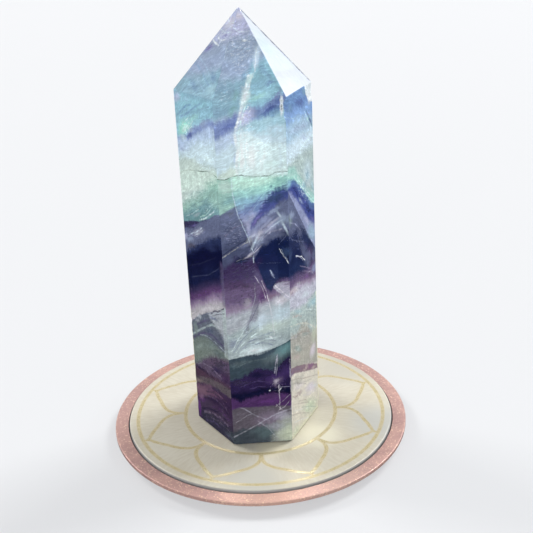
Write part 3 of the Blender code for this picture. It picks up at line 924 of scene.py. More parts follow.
frontLayers = (
    ("field", "seaSlate", 1.0, {}),
    ("smear", "seaGrey", 0.9, (11, 3.6), (5, 3.6), 30),
    ("field", "smokeGrey", 0.9, {"floor": ((0, 4.6), (3, 6), (8, 6.6), (11, 6.2), (14, 4.4), (21, 4))}),
    ("smear", "duskLavender", 0.85, (12.4, 9.4), (8, 4.0), 14),
    ("smear", "seaGrey", 0.6, (8.4, 5.4), (5, 1.8), 20),
    ("field", "paleSage", 1.8, {
        "floor": ((0, -5), (21, -5)), "roof": ((0, 9), (14, 9.4), (21, 10.8)),
        "west": ((13, 0), (13.6, 4), (15, 8), (17, 11)),
    }, 0.95),
    ("smear", "leaf", 0.8, (18, 2.8), (5.4, 5.8), 0),
    ("smear", "paleLilac", 0.55, (16, 10), (4, 2.4), 10),
    ("vein", "paleLilac", 0.6, 0.4, ((0, 3), (6, 6), (10, 8.4), (14, 10.6), (21, 12.9))),
    ("vein", "paleLilac", 0.4, 0.45, ((0, 15.4), (4, 13.4), (8, 10.2), (12, 8.2))),
    ("vein", "paleLilac", 0.35, 0.4, ((8, 8.4), (11, 6), (13.4, 2.6), (14.6, 0.4))),
    ("vein", "paleLilac", 0.35, 0.25, ((1, 8.4), (5, 11), (9, 12.2))),
    ("vein", "mistGrey", 0.4, 0.25, ((3, 4.2), (8, 7.4), (12, 7.8))),
    ("field", "magenta", 0.4, {"floor": ((0, 13.4), (2, 13.9), (14, 13.8), (21, 13.2))}),
    ("smear", "glow", 0.5, (12, 15.6), (6, 1.2), 4),
    ("field", "ink", 0.8, {
        "floor": ((0, 17.6), (3, 16.2), (8, 17.8), (12, 18.4), (16, 18.2), (21, 17.6)),
    }),
    ("field", "indigoPlum", 1.0, {"floor": ((0, 19.2), (6, 19.8), (12, 20.8), (21, 20))}),
    ("smear", "violetPlum", 0.9, (14.6, 23.8), (5.6, 2.8), 20),
    ("smear", "violetPlum", 0.85, (19, 26.4), (3.4, 3.4), 50),
    ("smear", "slatePlum", 0.7, (3.4, 23), (4.4, 1.6), 0),
    ("smear", "ink", 0.8, (8.4, 25.6), (3.6, 1.3), 0),
    ("vein", "duskViolet", 0.6, 0.3, ((3, 21.6), (6, 22.8), (9, 23.4), (13, 22.6))),
    ("vein", "duskViolet", 0.5, 0.3, ((6, 20.6), (9, 21.4), (12, 20.9))),
    ("field", "darkSea", 0.8, {
        "floor": ((0, 24), (4, 25.2), (7, 27.2), (9, 28.4), (12, 27.4), (14, 27), (16, 29), (18, 31),
            (21, 32)),
    }),
    ("smear", "seaGrey", 0.6, (3, 30), (5, 1.4), 10),
    ("smear", "seaGrey", 1.0, (15, 32.0), (7, 2.8), 24),
    ("smear", "teal", 0.9, (17.6, 34.4), (5, 2.6), 30),
    ("vein", "seaGrey", 0.5, 0.4, ((1, 28.2), (6, 30.6), (12, 31.4))),
    ("shard", "paleLilac", 0.6, 0.28, ((14.2, 25.6), (14.5, 28.6), (15.4, 33))),
    ("shard", "paleLilac", 0.5, 0.22, ((14.5, 24.4), (15.1, 28), (15.3, 32))),
    ("field", "sageSilver", 0.12, {
        "floor": ((0, 31.7), (2, 32.2), (8, 33.2), (14, 34.8), (17, 36), (21, 38.4)),
    }),
    ("smear", "frost", 1.0, (8.4, 34.9), (6.6, 2.3), 8),
    ("smear", "snow", 0.8, (8, 34.6), (3, 0.8), 8),
    ("vein", "frost", 0.75, 0.3, ((3, 32.9), (8, 33.7), (13, 35.1))),
    ("vein", "greyViolet", 0.6, 0.45, ((5, 35.4), (8, 36.9), (11, 37), (14, 36.2))),
    ("vein", "duskViolet", 0.45, 0.35, ((6, 37.6), (9, 38.6), (12, 38.4), (15, 37.4))),
    ("smear", "greyViolet", 0.5, (1.4, 37.6), (2.6, 1.6), 60),
    ("smear", "greenGrey", 0.9, (17, 42), (7, 3.6), 30),
    ("smear", "mintGrey", 0.6, (17, 43.4), (5, 2.6), 30),
    ("smear", "snow", 0.95, (13.6, 38.8), (0.8, 0.5), -30),
    ("field", "mistGrey", 1.4, {"floor": ((0, 40.4), (7, 43.6), (14, 45), (21, 46))}),
    ("smear", "shellMist", 0.95, (17, 47), (7, 4.4), 24),
    ("smear", "ice", 0.8, (11, 44.4), (5, 2.2), 80),
    ("vein", "frost", 0.7, 0.4, ((1, 34.4), (3, 38.4), (5.4, 42), (8, 45))),
    ("vein", "greyViolet", 0.6, 0.35, ((1.6, 34.2), (4, 38), (6.6, 40.8), (10, 43.4))),
    ("vein", "frost", 0.7, 0.35, ((2.2, 34), (5, 37.6), (8.4, 40.2), (12.4, 42.4))),
    ("vein", "greyViolet", 0.5, 0.3, ((3, 34), (6.4, 37.4), (10, 39.4), (14, 40.6))),
    ("vein", "mintWhite", 0.6, 0.35, ((3.4, 33.8), (7.4, 36.6), (11.6, 38.2), (16.6, 38.9))),
    ("smear", "mintGrey", 0.7, (13, 42.4), (5, 2.4), 30),
    ("field", "mauve", 1.6, {"floor": ((0, 47.2), (5, 48.6), (9, 50), (14, 51.4), (21, 54.6))}),
    ("field", "magentaDusk", 1.5, {"floor": ((0, 50.4), (9, 51.4), (14, 53.2), (21, 57))}),
    ("field", "indigoPlum", 2.6, {"floor": ((0, 57.4), (10, 58.6), (21, 59))}, 0.85),
    ("field", "duskViolet", 0.3, {
        "floor": ((0, 40.6), (21, 40.6)), "roof": ((0, 52.6), (21, 52.6)),
        "west": ((4.7, 40), (7, 46), (8.9, 52)), "east": ((5.6, 40), (9.8, 46), (10.4, 52)),
    }, 0.4),
    ("shard", "mistGrey", 0.6, 0.2, ((4.7, 40.6), (7, 46), (9.2, 52.6), (9.4, 58))),
    ("shard", "duskViolet", 0.6, 0.25, ((5.6, 41.6), (8, 46), (10.6, 51.6))),
    ("shard", "duskViolet", 0.45, 0.2, ((6.4, 43), (8.6, 49))),
    ("smear", "lilacWhite", 0.7, (17.6, 51.6), (4, 2), 20),
    ("smear", "magenta", 0.95, (11.6, 53.6), (3.4, 1.8), 66),
    ("smear", "duskViolet", 0.8, (10.2, 59.6), (4.4, 1.4), 100),
    ("smear", "rose", 0.4, (14, 53), (2.4, 1.0), 30),
    ("field", "navyBlue", 0.6, {
        "floor": ((0, 62), (9, 66), (10.6, 63), (12, 58.4), (13, 55.4), (14.2, 54.6), (16, 57.6),
            (21, 58.6)),
        "roof": ((0, 60), (9, 65), (11, 68.6), (13, 71.6), (16, 73.4), (21, 75)),
    }, 0.95),
    ("smear", "indigoPlum", 0.7, (11, 64.6), (3, 1.2), 70),
    ("smear", "navySlate", 0.7, (13.6, 70.8), (3.4, 1.0), 50),
    ("smear", "navySlate", 0.7, (19, 71.8), (3, 1.2), 10),
    ("smear", "magentaDusk", 0.8, (18.4, 58), (3, 1.2), 10),
    ("field", "paleLilac", 0.25, {
        "floor": ((0, 90), (14.8, 90), (15, 55.6), (21, 50)),
        "roof": ((0, 56.4), (15.3, 56.4), (16.5, 57.4), (21, 57.6)),
    }, 0.7),
    ("vein", "lilacWhite", 0.85, 0.3, ((15.2, 56.8), (21, 51))),
    ("vein", "mistGrey", 0.6, 0.22, ((15.4, 57), (18, 57.6), (21, 57.4))),
    ("shard", "lilacWhite", 0.7, 0.22, ((14.3, 45), (13.6, 50), (13, 53.6), (11.4, 58.6))),
    ("shard", "lilacWhite", 0.5, 0.2, ((12.6, 52), (11.6, 56), (9.2, 60.6))),
    ("shard", "lilacWhite", 0.45, 0.22, ((15, 38.6), (14.4, 42), (14.2, 45))),
    ("vein", "snow", 0.95, 0.36, ((17.2, 68.8), (18, 67), (19, 65.4), (20, 63.6))),
    ("vein", "ice", 0.7, 0.25, ((17.8, 68.6), (18.6, 66.4), (19.6, 65))),
    ("smear", "greyViolet", 0.9, (14.8, 60.4), (2.1, 0.6), -68),
    ("shard", "ice", 0.7, 0.2, ((15.6, 58.6), (14.8, 60), (14.2, 62))),
    ("vein", "greyViolet", 0.6, 0.2, ((17, 70), (21, 74.4))),
    ("field", "slateHaze", 0.8, {
        "floor": ((0, 95), (9, 75), (9.6, 66), (11, 68.6), (13, 71.4), (16, 73.6), (21, 75)),
        "roof": ((0, 70), (9, 75), (12, 79), (15.5, 84), (21, 86)),
    }),
    ("smear", "paleLilac", 0.95, (11.6, 73.4), (3.4, 1.6), 56),
    ("smear", "lavender", 0.7, (14.6, 75.4), (4, 1.6), 40),
    ("smear", "greyPeriwinkle", 0.6, (18, 78), (3.6, 2), 50),
    ("smear", "ice", 0.8, (19.2, 75.4), (3.6, 0.6), -68),
    ("smear", "ice", 0.7, (17.6, 79.6), (2, 0.6), -60),
    ("smear", "lavender", 0.6, (13.4, 76.8), (4.4, 0.7), 42),
    ("smear", "paleLilac", 0.6, (15.6, 77.4), (4.4, 0.6), 36),
    ("vein", "paleLilac", 0.6, 0.5, ((9.6, 68.4), (12.4, 72.4), (15, 74.4), (18.4, 75))),
    ("vein", "ice", 0.5, 0.4, ((10.4, 70.6), (13, 73.8), (16, 76.6), (19, 78.2))),
    ("smear", "greyPeriwinkle", 0.7, (16, 81), (3.6, 1), 34),
    ("field", "periwinkle", 1.2, {
        "floor": ((0, 70), (6, 76), (8.6, 72), (9.6, 76), (12, 81), (14, 84), (16, 86.4), (17.6, 88.4),
            (21, 87)),
    }),
    ("smear", "lavender", 0.75, (8, 76.4), (3.4, 1.2), 110),
    ("field", "royal", 1.4, {
        "floor": ((0, 79), (6, 80), (9, 80.8), (12, 82.4), (14, 84.2), (16, 86.6), (17.6, 88.6),
            (21, 87.2)),
    }, 0.7),
    ("smear", "royal", 0.7, (11, 81.6), (3, 1.2), 50),
    ("smear", "sky", 0.5, (6.6, 82.6), (2.6, 1.6), 60),
    ("field", "aqua", 1.6, {
        "floor": ((0, 81.6), (7, 82.4), (10, 83.6), (13, 84.6), (16, 87), (18, 88.8), (21, 88)),
    }),
    ("field", "mint", 1.4, {"floor": ((0, 85), (8, 85.8), (13, 86.4), (17, 88.2), (21, 90))}),
    ("field", "paleMint", 1.4, {"floor": ((0, 88.6), (8, 88.4), (14, 89.6), (17, 91), (21, 94))}),
    ("field", "indigo", 0.9, {
        "floor": ((0, 120), (8.8, 120), (9, 75), (10, 76), (12, 78.8), (14, 80.4), (16, 82), (18, 84),
            (21, 84.6)),
        "roof": ((0, 73), (9.2, 76.6), (10, 78.6), (12, 82.2), (14, 84.2), (16, 86.6), (17.6, 88.4),
            (21, 87)),
    }, 0.85),
    ("smear", "violet", 0.85, (10.8, 78.2), (4, 0.8), 54),
    ("smear", "steelNight", 0.95, (16.4, 85.2), (5, 2.0), 30),
    ("smear", "deepTeal", 0.6, (18, 88), (3.4, 1.2), 10),
    ("smear", "lavender", 0.6, (9.2, 79), (2.6, 1.1), 60),
    ("smear", "deepTeal", 0.8, (15.4, 88.6), (1.1, 0.6), 60),
    ("smear", "deepTeal", 0.8, (14.4, 86.6), (0.8, 0.5), 20),
    ("vein", "indigoSoft", 0.6, 0.3, ((7, 80), (10, 83), (13, 86.4))),
    ("vein", "sky", 0.6, 0.25, ((7.4, 77.6), (10, 81.6), (12.6, 85))),
    ("field", "slate", 1.4, {
        "floor": ((0, 63.4), (4, 66.4), (8, 66)), "roof": ((0, 80.6), (4.8, 83.6), (9, 85)),
            "east": faultLine,
    }, 0.9),
    ("field", "slateHaze", 1.6, {
        "floor": ((0, 72.6), (10, 74)), "roof": ((0, 80.6), (4.8, 83.6), (9, 85)), "east": faultLine,
    }),
    ("smear", "nightTeal", 0.95, (5.6, 65.6), (3.4, 1.8), 10),
    ("smear", "greyViolet", 0.8, (6.6, 70.4), (3, 1.2), 22),
    ("smear", "slate", 0.5, (2, 76), (3, 2.4), 20),
    ("field", "mintSea", 0.5, {
        "floor": ((0, 80.4), (2, 81.6), (4.8, 83), (9, 85)), "roof": ((0, 95), (9, 95)),
            "east": faultLine,
    }),
    ("smear", "greenCream", 0.9, (2, 89.6), (3.4, 3.4), 0),
    ("smear", "seaMint", 0.9, (2.8, 84.6), (3.6, 1.9), 30),
    ("smear", "mistSlate", 0.7, (3.4, 80.6), (2, 0.9), 40),
    ("shard", "ice", 0.8, 0.22, faultLine),
    ("smear", "ice", 0.7, (9.9, 71.2), (4.2, 0.7), 64),
    ("smear", "frost", 0.9, (9.4, 73.4), (1.8, 0.6), 30),
    ("smear", "paleLilac", 0.8, (8.4, 67.4), (2.2, 0.6), 40),
    ("vein", "lilacWhite", 0.8, 0.22, ((6, 65.8), (9.4, 67.6), (12, 70.2))),
    ("vein", "bone", 0.8, 0.28, ((0, 66.8), (4, 69.4), (8, 71.6))),
    ("vein", "ink", 0.7, 0.3, ((0, 67.6), (4, 70.2), (8, 72.4))),
    ("vein", "bone", 0.5, 0.22, ((4, 65.4), (7, 66.6), (9.6, 66.8))),
    ("vein", "duskLavender", 0.5, 0.25, ((1, 73.6), (4, 76.4), (7.2, 77.4))),
    ("grain", "duskLavender", 0.8, (4.5, 57), (7, 9), 0),
    ("grain", "ink", 0.75, (5.5, 55), (7, 7), 40),
    ("grain", "greyViolet", 0.5, (6, 61), (6, 6), 70),
    ("grain", "lavender", 0.5, (3.6, 75), (4.5, 6), 0),
    ("grain", "ink", 0.6, (4.5, 60), (5.5, 8), 0),
    ("field", "mintGrey", 0.12, {"floor": crackLine}),
    ("field", "shellMist", 1.2, {"floor": ((0, 92.6), (4, 95.4), (8, 94), (21, 95))}),
    ("field", "frost", 0.9, {
        "floor": ((0, 92), (21, 92)), "roof": ((0, 104.6), (9, 105.6), (14, 102), (21, 101)),
            "west": jagLine,
    }, 0.85),
    ("smear", "mintWhite", 0.7, (16, 95.4), (5, 1.4), 4),
    ("field", "lavenderHaze", 1.5, {
        "floor": ((0, 99.6), (4, 102), (7, 103), (8, 120), (21, 120)), "east": jagLine,
    }, 0.8),
    ("field", "aquaMist", 1.6, {"floor": ((0, 105), (8, 106), (13, 104.8), (21, 104)), "west": jagLine}),
    ("smear", "snow", 1.0, (7.4, 98.6), (6.2, 1.5), 88),
    ("smear", "snow", 0.95, (10.4, 98), (5.4, 2.0), 88),
    ("smear", "snow", 0.6, (13.6, 97), (4, 1), 80),
    ("shard", "frost", 0.5, 0.5, ((13, 94), (13.4, 98), (13, 102))),
    ("shard", "frost", 0.45, 0.4, ((16, 94.4), (16.2, 97), (15.8, 101))),
    ("shard", "shellMist", 0.5, 0.6, ((18.4, 93.6), (18.8, 97), (18.4, 101.4))),
    ("field", "lavender", 1.0, {
        "floor": ((0, 106.6), (8, 107.2), (11, 109), (14, 111), (21, 114)), "west": jagLine,
    }),
    ("field", "royal", 1.2, {
        "floor": ((0, 130), (9.6, 130), (10, 109), (14, 109.4), (18, 110.4), (21, 112)), "west": jagLine,
    }, 0.8),
    ("field", "aqua", 1.2, {
        "floor": ((0, 111), (9, 111.8), (14, 113), (17, 114.8), (21, 117.4)), "west": jagLine,
    }),
    ("smear", "indigo", 0.85, (16, 111.6), (3.6, 1.5), 30),
    ("smear", "violetBlue", 0.7, (18.8, 114.4), (3, 1.1), 42),
    ("smear", "violet", 0.5, (18.2, 115.4), (2.4, 0.6), 42),
    ("smear", "lavender", 0.95, (9.4, 110), (4.4, 2.4), 60),
    ("smear", "lilacWhite", 0.7, (8.4, 110), (2.8, 0.9), 66),
    ("smear", "mint", 0.7, (13, 115.4), (4.4, 1.2), 20),
    ("field", "violetBlue", 1.1, {
        "floor": ((0, 103.4), (3, 105), (8, 107)), "roof": ((0, 108), (4, 109.8), (9, 112)),
            "east": jagLine,
    }, 0.85),
    ("smear", "indigo", 0.6, (4, 107.3), (3.6, 1), 25),
    ("field", "steelTeal", 1.2, {
        "floor": ((0, 108.6), (4, 110.4), (9, 112.8)), "east": jagLine,
    }),
    ("smear", "seaMint", 0.7, (5.4, 111.4), (3, 1.4), 50),
    ("smear", "seaMint", 0.6, (6.6, 116), (3, 1.2), 70),
    ("smear", "plum", 0.75, (3.6, 57.4), (7.4, 2.6), 0),
    ("smear", "silver", 0.5, (6.6, 51.2), (2.0, 2.6), 0),
    ("smear", "duskLavender", 0.8, (19.4, 57), (2.4, 1.4), 0),
    ("smear", "slateHaze", 0.95, (15.6, 72.8), (6.2, 1.9), 8),
    ("smear", "periwinkle", 1.0, (10.2, 75), (2.4, 1.7), 40),
    ("smear", "mistGrey", 0.75, (8.7, 72), (2.0, 1.6), 60),
    ("smear", "greyPeriwinkle", 0.6, (11.4, 71), (2.2, 1.2), 30),
    ("smear", "periwinkle", 0.85, (13.2, 78), (2.4, 1.6), 30),
    ("smear", "slateHaze", 0.8, (12.9, 70.8), (2.6, 1.2), 20),
    ("smear", "lavender", 0.7, (10, 73.6), (2.0, 1.4), 40),
    ("smear", "periwinkle", 0.8, (11.6, 76.6), (2.0, 1.4), 40),
    ("smear", "greyPeriwinkle", 0.75, (19.2, 78), (2.8, 1.7), 0),
    ("smear", "steelNight", 0.6, (19.4, 67.4), (2.2, 2.4), 0),
    ("smear", "mistGrey", 0.85, (13.8, 6), (4.2, 2.4), 0),
    ("smear", "ice", 0.6, (8.5, 43.5), (2.0, 1.8), 0),
    ("smear", "ice", 0.6, (18.4, 105.6), (5, 2.6), 0),
    ("smear", "steel", 0.6, (17, 110.4), (2.4, 1.6), 20),
    ("shard", "snow", 1.0, 0.62, jagLine),
    ("shard", "mintWhite", 0.9, 0.4, tuple((u + 0.9, h) for u, h in jagLine)),
    ("smear", "mintWhite", 1.0, (9.4, 115.8), (4.2, 1.8), 66),
    ("smear", "snow", 0.9, (9.0, 115.4), (2.8, 0.8), 66),
    ("smear", "mintWhite", 0.9, (11, 119.8), (2.6, 0.9), 52),
    ("shard", "snow", 0.8, 0.25, ((8.4, 112.4), (9.6, 116), (10.8, 118.6), (12.4, 121.6))),
    ("field", "greyPeriwinkle", 1.8, {"floor": ((0, 119), (9, 120.4), (12, 124), (21, 126))}),
    ("smear", "steel", 0.7, (15.6, 121.4), (3, 1.8), -40),
    ("smear", "steel", 0.7, (9.3, 120.6), (1.9, 1.1), 60),
    ("smear", "violetBlue", 0.5, (16.6, 118.6), (2.2, 0.8), 10),
    ("smear", "aqua", 0.8, (17, 117.4), (3, 1), 14),
    ("smear", "ice", 0.95, (13.4, 125.2), (4.4, 1.4), 80),
    ("shard", "snow", 0.7, 0.25, ((12.6, 121.4), (13, 124), (13.6, 127.6))),
    ("field", "lavender", 1.6, {"floor": ((0, 128.6), (9, 130.6), (21, 133))}),
    ("smear", "snow", 0.8, (10.4, 129.4), (0.9, 0.6), 0),
    ("smear", "lilacWhite", 0.8, (9.2, 135.6), (2.4, 1.5), 0),
    ("vein", "frost", 0.6, 0.25, ((7, 133), (9, 131.4), (12, 131.6))),
    ("vein", "sky", 0.6, 0.25, ((5, 126.6), (8, 127.8), (12, 127))),
    ("smear", "snow", 1.0, (19.5, 112.7), (4.2, 0.7), 88),
    ("smear", "snow", 1.0, (19.5, 112.7), (3.8, 0.7), 88),
    ("smear", "sage", 0.7, (19.5, 112.4), (1.9, 0.3), 88),
    ("grain", "snow", 0.9, (9.2, 111), (2.4, 11), 0),
    ("grain", "snow", 0.6, (9, 128), (6, 9), 0),
    ("grain", "snow", 0.9, (10, 99), (6, 7), 0),
    ("grain", "snow", 1.0, (7.6, 100), (2.4, 9), 0),
    ("shard", "snow", 0.8, 0.4, ((6.6, 94), (7.4, 98), (7.2, 103), (7.8, 107))),
    ("shard", "snow", 0.7, 0.3, ((8.6, 93.6), (9, 97), (8.6, 101), (9.4, 104))),
    ("shard", "lavenderHaze", 0.7, 0.4, ((5.2, 96), (5.4, 100), (5, 104))),
    ("grain", "ice", 0.5, (3, 118), (4, 7), 0),
    ("smear", "lilacWhite", 0.95, (14.6, 22.6), (1.5, 0.9), 45),
    ("smear", "duskLavender", 0.4, (14.8, 22.6), (2.8, 2), 45),
    ("smear", "snow", 0.85, (15.8, 19.8), (1.1, 0.3), 42),
    ("smear", "snow", 0.8, (12.4, 19.6), (0.5, 0.4), 0),
    ("shard", "lilacWhite", 0.6, 0.2, ((15.4, 12), (15.5, 16), (15.3, 21.6))),
    ("vein", "lilacWhite", 0.6, 0.2, ((15, 12), (17, 13.2), (19.4, 16.4))),
    ("vein", "lilacWhite", 0.5, 0.2, ((14.2, 14.4), (15.4, 12.8), (16.6, 11.6))),
    ("vein", "lilacWhite", 0.45, 0.2, ((14, 13.4), (17, 15.8), (19.2, 18))),
    ("vein", "paleLilac", 0.35, 0.16, ((13.2, 21.6), (14.6, 22.8), (16.4, 23.8))),
    ("vein", "paleLilac", 0.4, 0.18, ((13.4, 24.4), (14.4, 22.8), (16, 20.9))),
    ("vein", "paleLilac", 0.35, 0.2, ((15, 20.7), (21, 20.5))),
    # A painted highlight near the face's right upright edge
    ("shard", "lilacWhite", 0.55, 0.3, ((19.3, 0), (19.3, 14), (19.2, 31))),
    ("grain", "duskLavender", 0.6, (14.8, 21), (3.4, 5), 0),
    ("grain", "ink", 0.75, (4.4, 59), (6.4, 6), 30),
    ("grain", "slatePlum", 0.8, (6.4, 55.6), (5, 6), -40),
    ("grain", "ice", 0.5, (7, 40), (7, 5), 0),
    ("grain", "ice", 0.6, (8, 35), (5, 1.6), 10),
    ("vein", "crackDark", 0.95, 0.26, crackLine),
    ("vein", "frost", 0.6, 0.2, tuple((u, h + 0.4) for u, h in crackLine)),
)

rightFault = ((0, 86.8), (4, 81.5), (8, 76.4), (11, 72.4), (14, 68.4), (17, 64.6), (20, 61), (22, 58))

